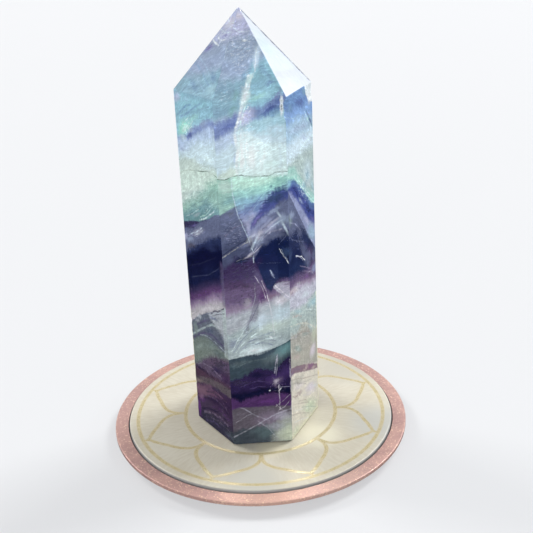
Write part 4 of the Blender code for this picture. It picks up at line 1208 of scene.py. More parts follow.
frontRightLayers = (
    ("field", "creamPale", 1.0, {}),
    # Painted light along the foot
    ("field", "creamGlow", 1.6, {"roof": ((0, 2.2), (22, 1.6))}, 0.5),
    ("smear", "leaf", 1.0, (15, 4.6), (10, 4), -25),
    ("smear", "leaf", 0.6, (3, 2), (5, 2.4), -20),
    ("smear", "lilacWhite", 0.9, (16, 11.4), (7, 3.0), -25),
    ("smear", "lilacWhite", 0.5, (6, 17.6), (7, 2), -22),
    ("smear", "blush", 0.75, (6, 14.6), (5.4, 1.6), -10),
    ("vein", "tan", 0.5, 0.35, ((0, 9.6), (6, 7), (14, 2.4))),
    ("vein", "tan", 0.5, 0.3, ((1, 13), (7, 10.2), (14, 6.6))),
    ("vein", "tan", 0.6, 0.35, ((0, 16.8), (3, 14.8), (5, 14.4))),
    ("vein", "tan", 0.55, 0.35, ((6, 11.6), (11, 9.4), (13, 7.4))),
    ("vein", "mistGreen", 0.4, 0.4, ((8, 8), (14, 5), (20, 1.4))),
    ("vein", "snow", 0.6, 0.35, ((2, 5.6), (8, 3.4), (14, 0.6))),
    ("smear", "snow", 0.7, (19.4, 10.4), (2.8, 1), -25),
    ("smear", "bone", 0.75, (6, 20), (7, 2.4), -20),
    ("field", "bone", 0.5, {"floor": ((0, 26.9), (11, 22.8), (22, 17.8))}),
    ("vein", "tan", 0.6, 0.3, ((0, 22.6), (5, 20.6), (11, 17.6), (22, 13))),
    ("vein", "oliveGrey", 0.35, 0.25, ((1, 20.9), (6, 18.4), (12, 14.8))),
    ("vein", "bone", 0.6, 0.3, ((2, 20.6), (9, 17), (17, 14))),
    ("field", "rose", 0.3, {
        "floor": ((0, 24.8), (5, 22.8), (10, 20.6), (15, 18.4), (22, 15.6)),
        "roof": ((0, 27), (5, 25.4), (11, 22.8), (16, 20.4), (22, 17.4)),
    }, 0.85),
    ("smear", "duskLavender", 0.6, (5, 24.2), (5, 0.7), -24),
    ("smear", "orchid", 0.95, (15.6, 19.7), (5, 1.5), -22),
    ("smear", "blush", 0.7, (12.4, 21.4), (1.8, 0.8), -22),
    ("smear", "lilacWhite", 0.9, (17.8, 24.6), (3.8, 3.2), 40),
    ("vein", "orchid", 0.5, 0.3, ((14.6, 22), (16, 24.8), (17.4, 28), (18.4, 30.6))),
    ("vein", "blush", 0.6, 0.4, ((15, 27), (18, 28), (21, 31))),
    ("smear", "blush", 0.6, (4.6, 28.6), (4.4, 1.2), -24),
    ("smear", "mistGreen", 0.8, (6, 31.2), (4.4, 2), -34),
    ("smear", "mintGrey", 0.6, (6, 31), (1.4, 1), 0),
    ("smear", "mistGreen", 0.5, (12, 33.6), (5, 1.4), -20),
    ("smear", "duskLavender", 0.3, (4, 36.6), (5, 0.9), -10),
    ("vein", "tan", 0.5, 0.4, ((2, 37.4), (6, 36.6), (11, 35), (15, 33))),
    ("field", "greenGrey", 1.8, {
        "floor": ((0, 38.6), (5, 37), (10, 38.4), (13, 37), (16, 33), (22, 31)),
    }),
    ("smear", "mintGrey", 0.6, (18, 34), (4, 2.6), -30),
    ("vein", "blush", 0.7, 0.6, ((2, 44.4), (6, 43), (9, 41.4))),
    ("vein", "cream", 0.7, 0.4, ((0, 42), (8, 39.4), (14, 36.4), (20, 32))),
    ("vein", "bone", 0.7, 0.45, ((1, 37.6), (5, 37), (10, 38.4), (14, 35.6))),
    ("smear", "greenCream", 0.5, (3, 42), (4, 2), -30),
    ("smear", "aquaMist", 0.8, (18, 42.4), (6, 2.4), -20),
    ("smear", "aquaMist", 0.5, (6, 44.6), (5, 1.0), -24),
    ("vein", "frost", 0.6, 0.3, ((12, 42.6), (16, 40.6), (21, 38.2))),
    ("vein", "sageSilver", 0.7, 0.35, ((8, 42.4), (13, 40), (20, 36.6))),
    ("field", "paleLilac", 1.0, {"floor": ((0, 47.4), (7, 45.4), (12, 44.8), (22, 45.4))}),
    ("smear", "frost", 0.4, (12, 47.6), (6, 1.2), -14),
    ("field", "mauve", 1.8, {"floor": ((0, 53.6), (6, 54), (10, 52.4), (16, 50), (22, 49.4))}),
    ("smear", "blush", 0.6, (3, 52.8), (5, 1.6), -14),
    ("field", "magentaDusk", 1.2, {"floor": ((0, 54.6), (6, 54.8), (10, 53.4), (16, 51.6), (22, 51))}),
    ("smear", "glow", 0.4, (13, 53.4), (4, 1.2), -20),
    ("field", "navyBlue", 1.4, {"floor": ((0, 57.8), (6, 57.4), (10, 56), (14, 56), (22, 58))}),
    ("smear", "duskViolet", 0.9, (16.6, 60), (6, 3.6), -50),
    ("smear", "duskViolet", 0.7, (12.6, 64.6), (3.6, 1.6), -50),
    ("smear", "slateHaze", 0.5, (19, 58), (3, 2), -50),
    ("smear", "greyViolet", 0.5, (15.4, 60), (3, 1.6), -50),
    ("field", "navySlate", 2.0, {"floor": ((0, 66.6), (8, 66), (13, 64), (22, 60))}, 0.7),
    ("field", "slateHaze", 1.8, {"floor": ((0, 72.4), (4, 72.4), (9, 72.4), (12, 70), (22, 64))}),
    ("smear", "mistGreen", 0.5, (1.6, 77), (2.4, 3), 0),
    ("smear", "lavenderHaze", 0.6, (3, 78.4), (3, 1.6), -20),
    ("vein", "lavender", 0.5, 0.3, ((1, 76.4), (5, 74.6), (9, 71))),
    ("vein", "slateHaze", 0.7, 0.4, ((2, 70.6), (6, 68.6), (11, 66.4))),
    ("smear", "slateHaze", 0.8, (12.4, 61.6), (9.6, 2.8), -60),
    ("smear", "slateHaze", 0.6, (19.4, 59.6), (2.6, 3.4), 0),
    ("smear", "slateHaze", 0.7, (8.4, 70.6), (3.4, 2.0), -50),
    ("smear", "steelNight", 0.65, (0.8, 66), (2.4, 3.6), 0),
    ("smear", "periwinkle", 0.8, (19.4, 54), (3.0, 2.4), -10),
    ("smear", "mauve", 0.7, (9.4, 52.4), (3.6, 1.5), 0),
    ("smear", "mauve", 0.6, (2.4, 52.4), (2.2, 1.2), 0),
    ("vein", "snow", 0.95, 0.3, ((5, 64.2), (6.5, 63.3), (9, 62.2), (10, 61.8))),
    ("vein", "snow", 0.9, 0.3, ((9.6, 62.2), (10.6, 60.8), (12.2, 59.8))),
    ("vein", "lavender", 0.8, 0.22, ((5.2, 63.6), (7.6, 63), (10.6, 60.2))),
    ("vein", "duskLavender", 0.6, 0.3, ((8, 59.4), (12, 57.4), (17, 54.6))),
    ("vein", "duskLavender", 0.6, 0.3, ((10, 56.8), (14, 55), (19, 52.6))),
    ("vein", "paleLilac", 0.4, 0.3, ((14, 54.6), (17, 54), (20, 50.6))),
    ("vein", "greyViolet", 0.5, 0.25, ((7, 69.6), (9, 65), (12, 61))),
    ("field", "periwinkle", 0.2, {"floor": rightFault}),
    ("smear", "sky", 1.0, (17.6, 67), (7, 2.8), -48),
    ("smear", "lavender", 0.6, (13.6, 72.6), (5, 1.2), -46),
    ("field", "indigo", 1.0, {
        "floor": ((0, 86.6), (3, 84.8), (7, 81.6), (10, 78.2), (13, 74.6), (17, 71), (22, 68)),
    }),
    ("smear", "navyBlue", 0.6, (15, 76), (6, 1.3), -40),
    ("smear", "navyBlue", 0.45, (6, 84.6), (4, 1.0), -40),
    ("smear", "violet", 0.6, (18.6, 71.2), (3, 1), -34),
    ("smear", "greyPeriwinkle", 0.8, (9.6, 80.6), (3, 0.8), -44),
    ("smear", "periwinkle", 0.7, (11.4, 75.4), (3, 1.0), -44),
    ("field", "royal", 0.8, {
        "floor": ((0, 88), (5, 86.8), (9, 83.6), (13, 79.6), (17, 75.6), (22, 72.8)),
    }, 0.75),
    ("field", "mint", 0.6, {"floor": ((0, 90), (5, 88.6), (9, 85.4), (13, 81.6), (17, 77.6), (22, 75))}),
    ("vein", "frost", 0.7, 0.35, ((4.2, 89.8), (8, 86.7), (12, 83), (15, 80), (20, 76))),
    ("vein", "snow", 0.7, 0.3, ((7, 88.8), (10, 85.6), (14, 82), (19, 78))),
    ("field", "greenGrey", 2.0, {"floor": ((0, 92), (6, 90.4), (10, 87), (14, 83), (22, 78))}),
    ("smear", "ice", 0.7, (15, 88), (7, 4.5), -60),
    ("smear", "aquaMist", 0.6, (18.6, 82), (4, 1.6), -60),
    ("smear", "mint", 0.7, (2.6, 92.4), (5, 1.8), -14),
    ("vein", "frost", 0.5, 0.25, ((9, 92.6), (13, 87.6), (18, 80.4))),
    ("vein", "frost", 0.5, 0.25, ((11, 93.6), (15, 90), (20, 83.6))),
    ("field", "ice", 1.8, {"floor": ((0, 95), (10, 95.4), (22, 95))}),
    ("vein", "frost", 0.8, 0.4, ((9, 96.4), (14, 98), (20, 98.6))),
    ("field", "sky", 2.2, {"floor": ((0, 100.6), (10, 101), (22, 100.4))}),
    ("smear", "greyPeriwinkle", 0.7, (10, 103.4), (9, 1.8), -6),
    ("smear", "lavenderHaze", 0.7, (12, 99.6), (4, 1.4), -20),
    ("smear", "greyPeriwinkle", 0.5, (4, 104), (4, 1.2), -16),
    ("field", "royalMist", 1.8, {"floor": ((0, 106.6), (6, 107.2), (12, 106.2), (19, 105))}),
    ("field", "royal", 1.2, {"floor": ((0, 110.4), (5, 110.4), (10, 109.4), (22, 113))}, 0.6),
    ("smear", "indigoSoft", 0.85, (9.4, 111.2), (4, 1.9), -25),
    ("smear", "violetBlue", 0.5, (6.6, 112), (2.4, 1.0), -25),
    ("smear", "steel", 0.7, (2.4, 111), (2.4, 1.6), -25),
    ("smear", "steelTeal", 0.7, (12.6, 113.4), (2.4, 1.6), -35),
    ("vein", "sky", 0.7, 0.3, ((0, 109), (5, 107.4), (10, 107))),
    ("vein", "deepTeal", 0.8, 0.9, ((13.8, 107.6), (16, 104.8), (18.8, 101))),
    ("smear", "indigo", 0.6, (17.2, 103.4), (2.2, 0.6), -48),
    ("smear", "violet", 0.5, (15.2, 106.2), (1.6, 0.7), -45),
    ("smear", "mint", 0.85, (15.2, 104.4), (1, 0.6), -40),
    ("vein", "frost", 0.7, 0.3, ((12.6, 107.6), (15, 104.6), (18.8, 99.6))),
    ("field", "snow", 0.25, {
        "floor": ((0, 130), (12.6, 118), (13, 115.4), (13.8, 112.4), (16, 109.6), (19.5, 108.8)),
    }),
    ("smear", "snow", 0.9, (16.6, 112), (2.2, 4), 0),
    # A painted highlight along the right upright edge, and a thin one along the foot
    ("shard", "creamGlow", 0.9, 0.6, ((22.5, 0), (21.8, 22), (21, 45))),
    ("field", "creamGlow", 0.12, {"roof": ((0, 0.6), (22, 0.6))}, 0.95),
    ("smear", "aqua", 0.9, (0.8, 88.8), (2.4, 1.8), -40),
    ("smear", "indigo", 0.9, (4.2, 84), (2.8, 1.3), -30),
    ("smear", "steelTeal", 0.75, (11.8, 84.4), (3.2, 2.2), -45),
    ("smear", "steelTeal", 0.65, (14.6, 87), (3.0, 2.0), -45),
    ("smear", "mauve", 0.85, (1.0, 24.3), (2.2, 1.3), 0),
    ("smear", "blush", 0.85, (11.6, 20.8), (3.4, 0.8), -14),
    ("smear", "blush", 0.85, (18.2, 17.9), (3.4, 1.0), -14),
    ("smear", "bone", 0.8, (0.9, 20.4), (1.9, 3.4), 0),
    ("grain", "snow", 0.8, (12, 83), (9, 3), -42),
    ("vein", "lilacWhite", 0.6, 0.5, ((9, 12), (14, 9.6), (20, 8))),
    ("vein", "snow", 0.4, 0.4, ((2, 10), (8, 7.4), (14, 4.4))),
    ("grain", "ice", 0.6, (10, 98), (9, 3), 0),
    ("grain", "slateHaze", 0.6, (8, 69), (8, 6), -40),
    ("smear", "leaf", 0.6, (18.6, 30), (2.6, 4), 0),
    ("grain", "sky", 0.5, (10, 105), (9, 4), 0),
)

# The three faces at the back: the heights at which the same bands cross the four upright edges
backBands = (
    ("plum", 1.5, (5, 6, 7, 4)),
    ("slatePlum", 1.0, (12, 11, 13, 9)),
    ("rose", 0.4, (18, 15, 16, 13.5)),
    ("oliveGrey", 0.4, (19.6, 17, 18, 15)),
    ("plum", 0.7, (20.5, 19, 20, 16.4)),
    ("indigoPlum", 1.0, (23, 22, 23, 19)),
    ("sage", 1.2, (27, 27, 26, 22)),
    ("greenGrey", 1.2, (33, 32, 31, 30)),
    ("cream", 0.8, (40, 41, 38, 36.5)),
    ("paleLilac", 1.2, (45, 46, 43, 40)),
    ("mauve", 1.4, (49, 50, 47, 43)),
    ("magenta", 1.2, (51.5, 52, 49, 45)),
    ("indigoPlum", 1.2, (54, 55, 52, 48.5)),
    ("navy", 1.5, (56.5, 58, 55, 51)),
    ("steelNight", 1.4, (63, 66, 65, 61.5)),
    ("periwinkle", 0.6, (66, 69, 68, 64)),
    ("indigo", 0.8, (69, 72, 71, 70)),
    ("royal", 0.8, (73, 76, 75, 72.5)),
    ("mint", 0.5, (75.5, 78, 77, 73.8)),
    ("greenCream", 2.0, (82, 85, 83, 79)),
    ("frost", 1.2, (92, 93, 91, 89)),
    ("ice", 1.4, (97, 98, 96, 94)),
    ("sky", 1.4, (101, 103, 101, 98.5)),
    ("violetBlue", 0.9, (103, 105, 103, 99.4)),
    ("aqua", 0.9, (106, 108, 106, 101.5)),
    ("royalMist", 1.4, (110, 112, 110, 107)),
    ("steelTeal", 1.0, (114, 116, 115, 114)),
    ("greyPeriwinkle", 1.6, (120, 121, 120, 119)),
    ("lavender", 1.6, (127, 128, 127, 126.5)),
    ("ice", 1.2, (134, 135, 135, 135)),
)

backDetails = (
    (
        ("vein", "crackOlive", 0.7, 0.25, ((0, 88), (6, 90), (12, 89), (21, 92))),
        ("smear", "snow", 0.7, (8, 96), (6, 2), 20),
        ("shard", "ice", 0.6, 0.3, ((6, 50), (9, 62), (8, 74), (11, 84))),
        ("smear", "ice", 0.7, (12, 66), (3, 0.5), -50),
        ("grain", "snow", 0.6, (10, 100), (8, 8), 0),
        ("grain", "snow", 0.6, (8, 30), (6, 6), 0),
    ),
    (
        ("shard", "lilacWhite", 0.6, 0.3, ((13, 8), (12, 20), (14, 34))),
        ("vein", "frost", 0.7, 0.3, ((2, 76), (9, 79), (15, 78), (20, 81))),
        ("smear", "lavender", 0.7, (6, 70), (5, 1.4), 30),
        ("smear", "glow", 0.5, (14, 48), (5, 1.4), -15),
        ("grain", "snow", 0.7, (12, 92), (7, 8), 0),
        ("grain", "lavender", 0.5, (8, 62), (8, 6), 0),
    ),
    (
        ("vein", "ice", 0.6, 0.3, ((0, 60), (6, 66), (14, 64), (21, 70))),
        ("shard", "snow", 0.6, 0.3, ((8, 84), (7, 96), (10, 108))),
        ("smear", "deepTeal", 0.7, (14, 79), (4, 1.2), -25),
        ("smear", "rose", 0.7, (14, 11), (6, 2), -12),
        ("grain", "snow", 0.7, (9, 104), (6, 6), 0),
        ("grain", "ice", 0.5, (12, 36), (8, 4), 0),
    ),
)

# The facet of the point that mirrors the window is calm, and its pale colour is a painted reflection of
# the window.
tipFacetLayers = (
    ("field", "facetPale", 1.0, {}),
    ("smear", "frost", 0.6, (8, 128), (7, 5), -60),
    ("shard", "slate", 1.0, 1.1, ((18.6, 115), (14.9, 123.6), (11.9, 130.6), (8.9, 137.8))),
)

# How each back face's bands swell, in mm, and how quickly that changes with their height
backFolds = (3.4, -3.0, 2.8)
foldHeight = 17


def backLayers(index):
    # A back face's bands run from one upright edge to the next one at heights that join up.
    layers = [("field", "slatePlum", 1.0, {})]
    for colour, soft, heights in backBands:
        start, end = heights[index], heights[index + 1]
        fold = backFolds[index] * math.sin(start / foldHeight + index)
        floor = (
            (0, start),
            (5, start * 0.7 + end * 0.3 + fold * 0.5),
            (10, (start + end) / 2 + fold),
            (15, start * 0.3 + end * 0.7 + fold * 0.3),
            (21, end),
        )
        layers.append(("field", colour, soft, {"floor": floor}))
    return tuple(layers) + backDetails[index]


# Which grain and brightness each side face has, counter-clockwise from the front left one:
# its name, the tilt of its bands in degrees, how bright it is drawn as painted light for how the light
# falls on that side, and its layers.
prismFaces = (
    ("FrontLeft", 22, 1.0, frontLeftLayers),
    ("Front", 14, 1.04, frontLayers),
    ("FrontRight", -24, 1.08, frontRightLayers),
    ("BackRight", 8, 1.0, backLayers(0)),
    ("Back", -6, 1.0, backLayers(1)),
    ("BackLeft", -12, 1.0, backLayers(2)),
)

fluoriteLook = {
    # The sheet that a face's layers are drawn on, in mm
    "sheetWidth": 24.0,
    "sheetHeight": 140.0,
    # Each face has one material for each part, from these heights up. A part also takes the
    # layers that end this little beyond it.
    "partNames": ("A", "B", "C", "D"),
    "partHeights": (0.0, 31.0, 62.0, 93.5),
    "partSpare": 4.5,
    "gain": 1.24,
    "depth": 1.05,
    # How far the layers' edges wander, in mm
    "coarseDrift": 1.7,
    "fineDrift": 0.55,
    "swirl": 4.0,
    "feather": 2.2,
    "featherTilt": 8,
    "ragged": 1.3,
    # Noises: how many per mm, how much detail, and how rough
    "coarse": (0.17, 3.0, 0.55),
    "fine": (0.95, 2.0, 0.6),
    "patches": (0.55, 4.0, 0.65),
    "waves": (0.08, 2.0),
    # Grains: their length along the bands and thickness in mm, how much detail, and how rough
    "grains": {
        "feather": ((0.55, 4.0, 1.0), 2.0, 0.6),
        "fibre": ((5.0, 1.0, 1.0), 4.0, 0.6),
        "thread": ((2.0, 0.34, 1.0), 2.0, 0.6),
        "speck": ((1.1, 0.5, 1.0), 2.0, 0.75),
        "ray": ((0.7, 14.0, 1.0), 2.0, 0.5),
        "curl": ((8.0, 3.2, 1.0), 1.0, 0.4),
    },
    # The threads lie steeper than the bands, and a few mm aside.
    "threadTilt": 1.5,
    "threadShift": (3, 7, 0),
    # Fields and smears that are softer or wider than this, in mm, wander further.
    "softField": 0.6,
    "softSmear": 0.7,
    # The share of an oval, of a line's width and of a grained patch that has the full colour
    "ovalCore": 0.15,
    "lineCore": 0.2,
    "patchCore": 0.3,
    "farOff": 3,  # a line's hidden ends lie this many sheets away
    # Where each grain starts to show and shows in full, as a share of its noise
    "grainRange": (0.3, 0.7),
    "speckRange": (0.54, 0.66),
    "brokenRange": (0.38, 0.56),
    "brokenLeast": 0.25,
    "hairRange": (0.003, 0.016),
    "hairPlaces": (0.44, 0.56),
    "veilRange": (0.56, 0.72),
    "veilPlaces": (0.4, 0.6),
    # How strongly each kind of grain shows
    "fibre": 0.34,
    "thread": 0.3,
    "mottle": 0.2,
    "rays": 0.1,
    "hairs": 0.26,
    "veils": 0.2,
    # Where the stone is calm: these parts of a face, counted from the foot, have less grain.
    "calm": {"FrontRight": (0,)},
    "calmGrain": {"fibre": 0.16, "thread": 0.16, "mottle": 0.12, "veils": 0.06},
    # The facet that mirrors the window: the side face below it, and its own grain
    "tipFace": 2,
    "tipGrain": {
        "fibre": 0.06, "thread": 0.05, "mottle": 0.05, "rays": 0.04, "hairs": 0.0, "veils": 0.0,
    },
    "transmission": 0.36,
    "ior": 1.434,
    "roughness": 0.07,
    "shine": 0.25,
    "bumpStrength": 0.1,
    "bumpDepth": 0.3 * mm,
    # Areas in square mm that tell a side face, a facet of the point and a chip apart
    "sideArea": 1000.0,
    "facetArea": 100.0,
    "chipArea": 60.0,
    # How much of a normal points up on a side face, a facet of the point and a level face
    "sideUp": 0.1,
    "facetUp": 0.3,
    "levelUp": 0.9,
    "weld": 0.004 * mm,
    "flatAngle": math.radians(0.5),
    "sharpAngle": math.radians(50),
}


class Face:
    def __init__(self, normal, distance, name, bandTilt, lift, layers):
        self.normal = normal
        self.distance = distance
        self.outward = Vector((normal.x, normal.y, 0.0))
        self.tangent = Vector((-normal.y, normal.x, 0.0)).normalized()
        self.name = name
        self.bandTilt = bandTilt
        self.lift = lift
        self.layers = layers


def leftEdge(faces, index):
    # The upright edge that a face shares with the one before it: at the foot and one metre up.
    before = faces[index - 1]
    after = faces[index]
    ends = []
    for z in (0.0, 1.0):
        first = before.distance - before.normal.z * z
        second = after.distance - after.normal.z * z
        cross = before.normal.x * after.normal.y - before.normal.y * after.normal.x
        x = (first * after.normal.y - second * before.normal.y) / cross
        y = (second * before.normal.x - first * after.normal.x) / cross
        ends.append(Vector((x, y, 0.0)))
    return ends


def lineHeights(points, span, rise):
    return [(a / span, b / rise) for a, b in points]


def spread(points, low, high):
    # Carries a line on level to both ends of its range.
    points = list(points)
    if points[0][0] > low:
        points.insert(0, (low, points[0][1]))
    if points[-1][0] < high:
        points.append((high, points[-1][1]))
    return points


def shootOff(points, low, high, far):
    # Ends a line by sending it far out of the face just beyond its first and last points.
    first, last = points[0], points[-1]
    beyond, spare = 0.12, 0.2
    line = [(low, far), (first[0] - beyond, far)] if first[0] > low + spare else [(low, first[1])]
    line += list(points)
    line += [(last[0] + beyond, far), (high, far)] if last[0] < high - spare else [(high, last[1])]
    return line


def flipped(points):
    return [(b, a) for a, b in points]


def layersWithin(layers, low, high, spare):
    # Only the layers that show between two heights, so that each part's material stays small.
    kept = []
    for layer in layers:
        kind = layer[0]
        if kind == "field":
            floor = [h for u, h in layer[3].get("floor", ((0, 0),))]
            roof = [h for u, h in layer[3].get("roof", ((0, math.inf),))]
            bottom, top = min(floor), max(roof)
            plain = len(layer) == 4 and set(layer[3]) <= {"floor"}
            if plain and max(floor) < low - spare:
                kept = [("field", layer[1], layer[2], {})]
                continue
        elif kind in ("smear", "grain"):
            (u, h), (length, thickness), tilt = layer[3:]
            tilt = math.radians(tilt)
            reach = math.hypot(length * math.sin(tilt), thickness * math.cos(tilt))
            bottom, top = h - reach, h + reach
        else:
            bottom = min(h for u, h in layer[4])
            top = max(h for u, h in layer[4])
        if bottom < high + spare and top > low - spare:
            kept.append(layer)
    return kept


# The drawing sheet of one face: places in mm across and up, warped so that lines wander, and
# a mask for each kind of layer.

class Sheet:
    def __init__(self, bench, face, left, look):
        self.bench = bench
        self.width, self.height = look["sheetWidth"], look["sheetHeight"]
        self.look = look
        place = self.place = bench.millimetres()
        drift = (left[1] - left[0]).dot(face.tangent)
        start = left[0].dot(face.tangent)
        along = bench.vector("DOT_PRODUCT", place, (face.tangent.x, face.tangent.y, -drift))
        across = bench.math("SUBTRACT", along, start / mm)
        level = bench.math("SUBTRACT", bench.split(place)[2], prismLow.z / mm)
        middle = (0.5, 0.5, 0.5)
        coarse = bench.noise(place, *look["coarse"], "Color")
        coarse = bench.vector("SUBTRACT", coarse, middle)
        fine = bench.noise(place, *look["fine"], "Color")
        fine = bench.vector("SUBTRACT", fine, middle)
        sheet = bench.join(across, level)
        self.crispSheet = bench.vector("ADD", sheet, bench.vector("SCALE", fine, scale=look["fineDrift"]))
        tilt = math.radians(look["featherTilt"])
        strokes = self.grained("feather", self.crispSheet, tilt)
        strokes = bench.math("MULTIPLY", bench.math("SUBTRACT", strokes, 0.5), look["feather"])
        swirl = bench.vector("SCALE", coarse, scale=look["swirl"])
        self.grainSheet = bench.vector("ADD", self.crispSheet, swirl)
        coarse = bench.vector("SCALE", coarse, scale=look["coarseDrift"])
        self.softSheet = bench.vector("ADD", self.crispSheet, coarse)
        self.softSheet = bench.vector("ADD", self.softSheet, bench.join(0.0, strokes))
        self.crisp = self.shares(self.crispSheet)
        self.soft = self.shares(self.softSheet)
        self.tilt = math.radians(face.bandTilt)
        self.fibre = self.grained("fibre", self.grainSheet, self.tilt)
        tilt = self.tilt * look["threadTilt"]
        self.thread = self.grained("thread", self.grainSheet, tilt, look["threadShift"])
        self.mottle = bench.noise(place, *look["patches"])
        self.speck = self.grained("speck", sheet, self.tilt)
        thread = bench.math("MULTIPLY", self.thread, 0.4)
        ragged = bench.math("SUBTRACT", bench.math("MULTIPLY_ADD", self.fibre, 0.6, thread), 0.5)
        self.ragged = bench.math("MULTIPLY", ragged, look["ragged"])
        self.broken = bench.ramp(self.mottle, *look["brokenRange"], look["brokenLeast"], 1.0)

    def grained(self, name, sheet, tilt, shift=(0, 0, 0)):
        size, detail, roughness = self.look["grains"][name]
        return self.bench.noise(self.bench.place(sheet, shift, tilt, size), 1.0, detail, roughness)

    def shares(self, warped):
        u, h, unused = self.bench.split(warped)
        return self.bench.math("DIVIDE", u, self.width), self.bench.math("DIVIDE", h, self.height)

    def field(self, soft, sides, strength=1.0):
        bench, width, height = self.bench, self.width, self.height
        u, h = self.soft if soft > self.look["softField"] else self.crisp
        mask = strength
        for side, points in sides.items():
            if side in ("floor", "roof"):
                line = bench.curve(u, lineHeights(spread(points, 0, width), width, height))
                gap = bench.math("SUBTRACT", h, line)
                edge = soft / height
            else:
                line = bench.curve(h, lineHeights(spread(flipped(points), 0, height), height, width))
                gap = bench.math("SUBTRACT", u, line)
                edge = soft / width
            gap = bench.math("MULTIPLY_ADD", self.ragged, edge * 2, gap)
            ends = (1.0, 0.0) if side in ("roof", "east") else (0.0, 1.0)
            part = bench.ramp(gap, -edge, edge, *ends)
            mask = part if mask == 1.0 else bench.math("MULTIPLY", part, mask)
        return mask

    def smear(self, strength, middle, size, tilt):
        bench = self.bench
        warped = self.softSheet if size[1] > self.look["softSmear"] else self.crispSheet
        local = bench.place(warped, (*middle, 0.0), math.radians(tilt), (*size, 1.0))
        far = bench.math("ADD", bench.vector("LENGTH", local), self.ragged)
        return bench.ramp(far, self.look["ovalCore"], 1.0, strength, 0.0)

    def stroke(self, strength, value, line, share):
        bench = self.bench
        gap = bench.math("MULTIPLY", bench.math("ABSOLUTE", bench.math("SUBTRACT", value, line)), share)
        mask = bench.ramp(gap, self.look["lineCore"], 1.0, strength, 0.0)
        return bench.math("MULTIPLY", mask, self.broken)

    def vein(self, strength, thick, points):
        u, h = self.crisp
        points = shootOff(points, 0, self.width, self.look["farOff"] * self.height)
        line = self.bench.curve(u, lineHeights(points, self.width, self.height))
        return self.stroke(strength, h, line, self.height / thick)

    def shard(self, strength, thick, points):
        u, h = self.crisp
        points = sorted(flipped(points))
        points = shootOff(points, 0, self.height, self.look["farOff"] * self.width)
        line = self.bench.curve(h, lineHeights(points, self.height, self.width))
        return self.stroke(strength, u, line, self.width / thick)

    def grain(self, strength, middle, size, tilt):
        bench = self.bench
        local = bench.place(self.softSheet, (*middle, 0.0), math.radians(tilt), (*size, 1.0))
        region = bench.vector("LENGTH", local)
        region = bench.ramp(region, self.look["patchCore"], 1.0, strength, 0.0)
        return bench.math("MULTIPLY", region, bench.ramp(self.speck, *self.look["speckRange"]))

    def brighten(self, grain, amount, lift=1.0, kind="LINEAR"):
        dark, bright = lift * (1.0 - amount / 2), lift * (1.0 + amount / 2)
        return self.bench.ramp(grain, *self.look["grainRange"], dark, bright, kind)


def stoneColours(look):
    # The palette, made a little brighter and deeper, because the see-through stone dulls it.
    colours = {}
    for name, value in fluoriteColours.items():
        linear = screenColour(*value)
        colours[name] = tuple(min(1.0, look["gain"] * part ** look["depth"]) for part in linear)
    return colours


def bandedFluorite(face, part, layers, left, look):
    bench = Bench("fluorite" + face.name + part)
    sheet = Sheet(bench, face, left, look)
    colours = stoneColours(look)
    colour = colours[layers[0][1]]
    masks = {
        "field": sheet.field,
        "smear": sheet.smear,
        "vein": sheet.vein,
        "shard": sheet.shard,
        "grain": sheet.grain,
    }
    # The hairs of each part run their own way: the last oval's tilt turns them, in radians.
    hairTurn = sheet.tilt
    for kind, tint, *details in layers[1:]:
        colour = bench.mix(masks[kind](*details), colour, colours[tint])
        if kind in ("smear", "grain"):
            hairTurn = details[-1]
    # The grain varies the brightness, and the face's brightness factor adds painted light.
    light = bench.math(
        "MULTIPLY",
        sheet.brighten(sheet.fibre, look["fibre"], face.lift),
        sheet.brighten(sheet.thread, look["thread"]),
    )
    light = bench.math("MULTIPLY", light, sheet.brighten(sheet.mottle, look["mottle"]))
    colour = bench.vector("SCALE", colour, scale=light)
    rays = sheet.grained("ray", sheet.crispSheet, 0.0)
    colour = bench.vector("SCALE", colour, scale=sheet.brighten(rays, look["rays"], kind="SMOOTHSTEP"))
    curl = sheet.grained("curl", sheet.grainSheet, hairTurn)
    curl = bench.math("ABSOLUTE", bench.math("SUBTRACT", curl, 0.5))
    hairs = bench.ramp(curl, *look["hairRange"], look["hairs"], 0.0)
    hairs = bench.math("MULTIPLY", hairs, bench.ramp(sheet.mottle, *look["hairPlaces"]))
    veils = bench.ramp(sheet.thread, *look["veilRange"], 0.0, look["veils"])
    veils = bench.math("MULTIPLY", veils, bench.ramp(sheet.mottle, *look["veilPlaces"]))
    glow = bench.math("ADD", 1.0, bench.math("MAXIMUM", veils, hairs))
    colour = bench.vector("SCALE", colour, scale=glow)
    wave = bench.noise(sheet.place, *look["waves"])
    return bench.finish(
        Base_Color=colour,
        Roughness=look["roughness"],
        Transmission_Weight=look["transmission"],
        IOR=look["ior"],
        Specular_IOR_Level=look["shine"],
        Normal=bench.bump(wave, look["bumpStrength"], look["bumpDepth"]),
    )


def cleanPrism(look):
    bm = bmesh.new()
    bm.from_mesh(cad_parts["fluorite_prism"].data)
    bmesh.ops.remove_doubles(bm, verts=bm.verts, dist=look["weld"])
    bmesh.ops.dissolve_limit(bm, angle_limit=look["flatAngle"], verts=bm.verts, edges=bm.edges)
    bm.faces.ensure_lookup_table()
    return bm


def findFaces(bm, look):
    upright = [f for f in bm.faces if abs(f.normal.z) < look["sideUp"]]
    sides = [f for f in upright if area(f) > look["sideArea"]]
    sides.sort(key=lambda f: math.atan2(f.normal.y, f.normal.x))
    faces = []
    for side, (name, tilt, lift, layers) in zip(sides, prismFaces):
        normal = side.normal.copy()
        faces.append(Face(normal, normal.dot(side.verts[0].co), name, tilt, lift, layers))
    return faces


def area(f):
    return f.calc_area() / (mm * mm)


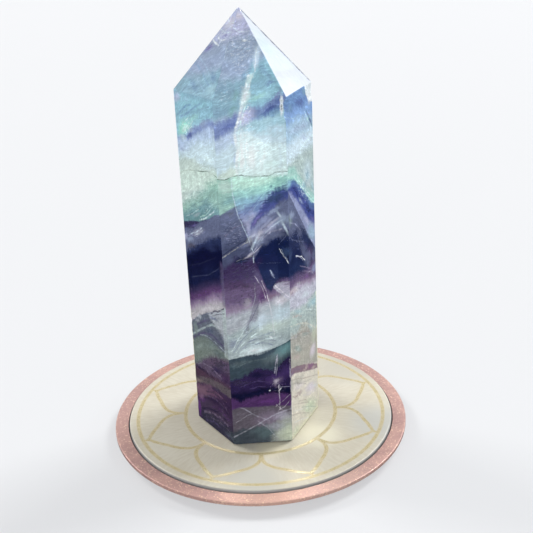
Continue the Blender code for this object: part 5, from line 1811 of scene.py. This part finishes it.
def sideOf(f, faces, axis, look):
    # The side face that a face of the mesh belongs to. The facets of the point, the chips and
    # the worn edges go with the side face that they look or lie towards.
    if f.normal.z < -look["levelUp"]:
        way = faces[0].normal
    elif area(f) > look["chipArea"] and abs(f.normal.z) < look["levelUp"]:
        way = Vector((f.normal.x, f.normal.y, 0.0)).normalized()
    else:
        middle = f.calc_center_median() - axis
        way = Vector((middle.x, middle.y, 0.0)).normalized()
    return max(range(len(faces)), key=lambda i: way.dot(faces[i].outward))


def polishPrism(look):
    bm = cleanPrism(look)
    faces = findFaces(bm, look)
    axis = sum((leftEdge(faces, i)[0] for i in range(len(faces))), Vector()) / len(faces)
    steps = look["partHeights"][1:]
    for height in steps:
        cut = bm.verts[:] + bm.edges[:] + bm.faces[:]
        level = (0, 0, prismLow.z + height * mm)
        bmesh.ops.bisect_plane(bm, geom=cut, plane_co=level, plane_no=(0, 0, 1))
    parts = len(look["partHeights"])
    for f in bm.faces:
        column = sideOf(f, faces, axis, look)
        height = (f.calc_center_median().z - prismLow.z) / mm
        part = sum(height > step for step in steps)
        facet = look["facetUp"] < f.normal.z < look["levelUp"] and area(f) > look["facetArea"]
        onTip = facet and column == look["tipFace"]
        f.material_index = len(faces) * parts if onTip else column * parts + part
        f.smooth = True
    mesh = bpy.data.meshes.new("fluoritePrism")
    bm.to_mesh(mesh)
    bm.free()
    tops = (*steps, look["sheetHeight"])
    for i, face in enumerate(faces):
        left = leftEdge(faces, i)
        for part, (name, low, high) in enumerate(zip(look["partNames"], look["partHeights"], tops)):
            layers = layersWithin(face.layers, low, high, look["partSpare"])
            calm = part in look["calm"].get(face.name, ())
            grain = dict(look, **look["calmGrain"]) if calm else look
            mesh.materials.append(bandedFluorite(face, name, layers, left, grain))
    tip = look["tipFace"]
    grain = dict(look, **look["tipGrain"])
    left = leftEdge(faces, tip)
    mesh.materials.append(bandedFluorite(faces[tip], "Tip", tipFacetLayers, left, grain))
    piece = bpy.data.objects.new("fluoritePrism", mesh)
    bpy.context.scene.collection.objects.link(piece)
    mesh.set_sharp_from_angle(angle=look["sharpAngle"])
    shading = piece.modifiers.new("edgeShading", "WEIGHTED_NORMAL")
    shading.keep_sharp = True
    shading.weight = 100
    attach(piece, objectBody)
    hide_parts("fluorite_prism")
    return piece


polishPrism(fluoriteLook)
print("fluorite polished")
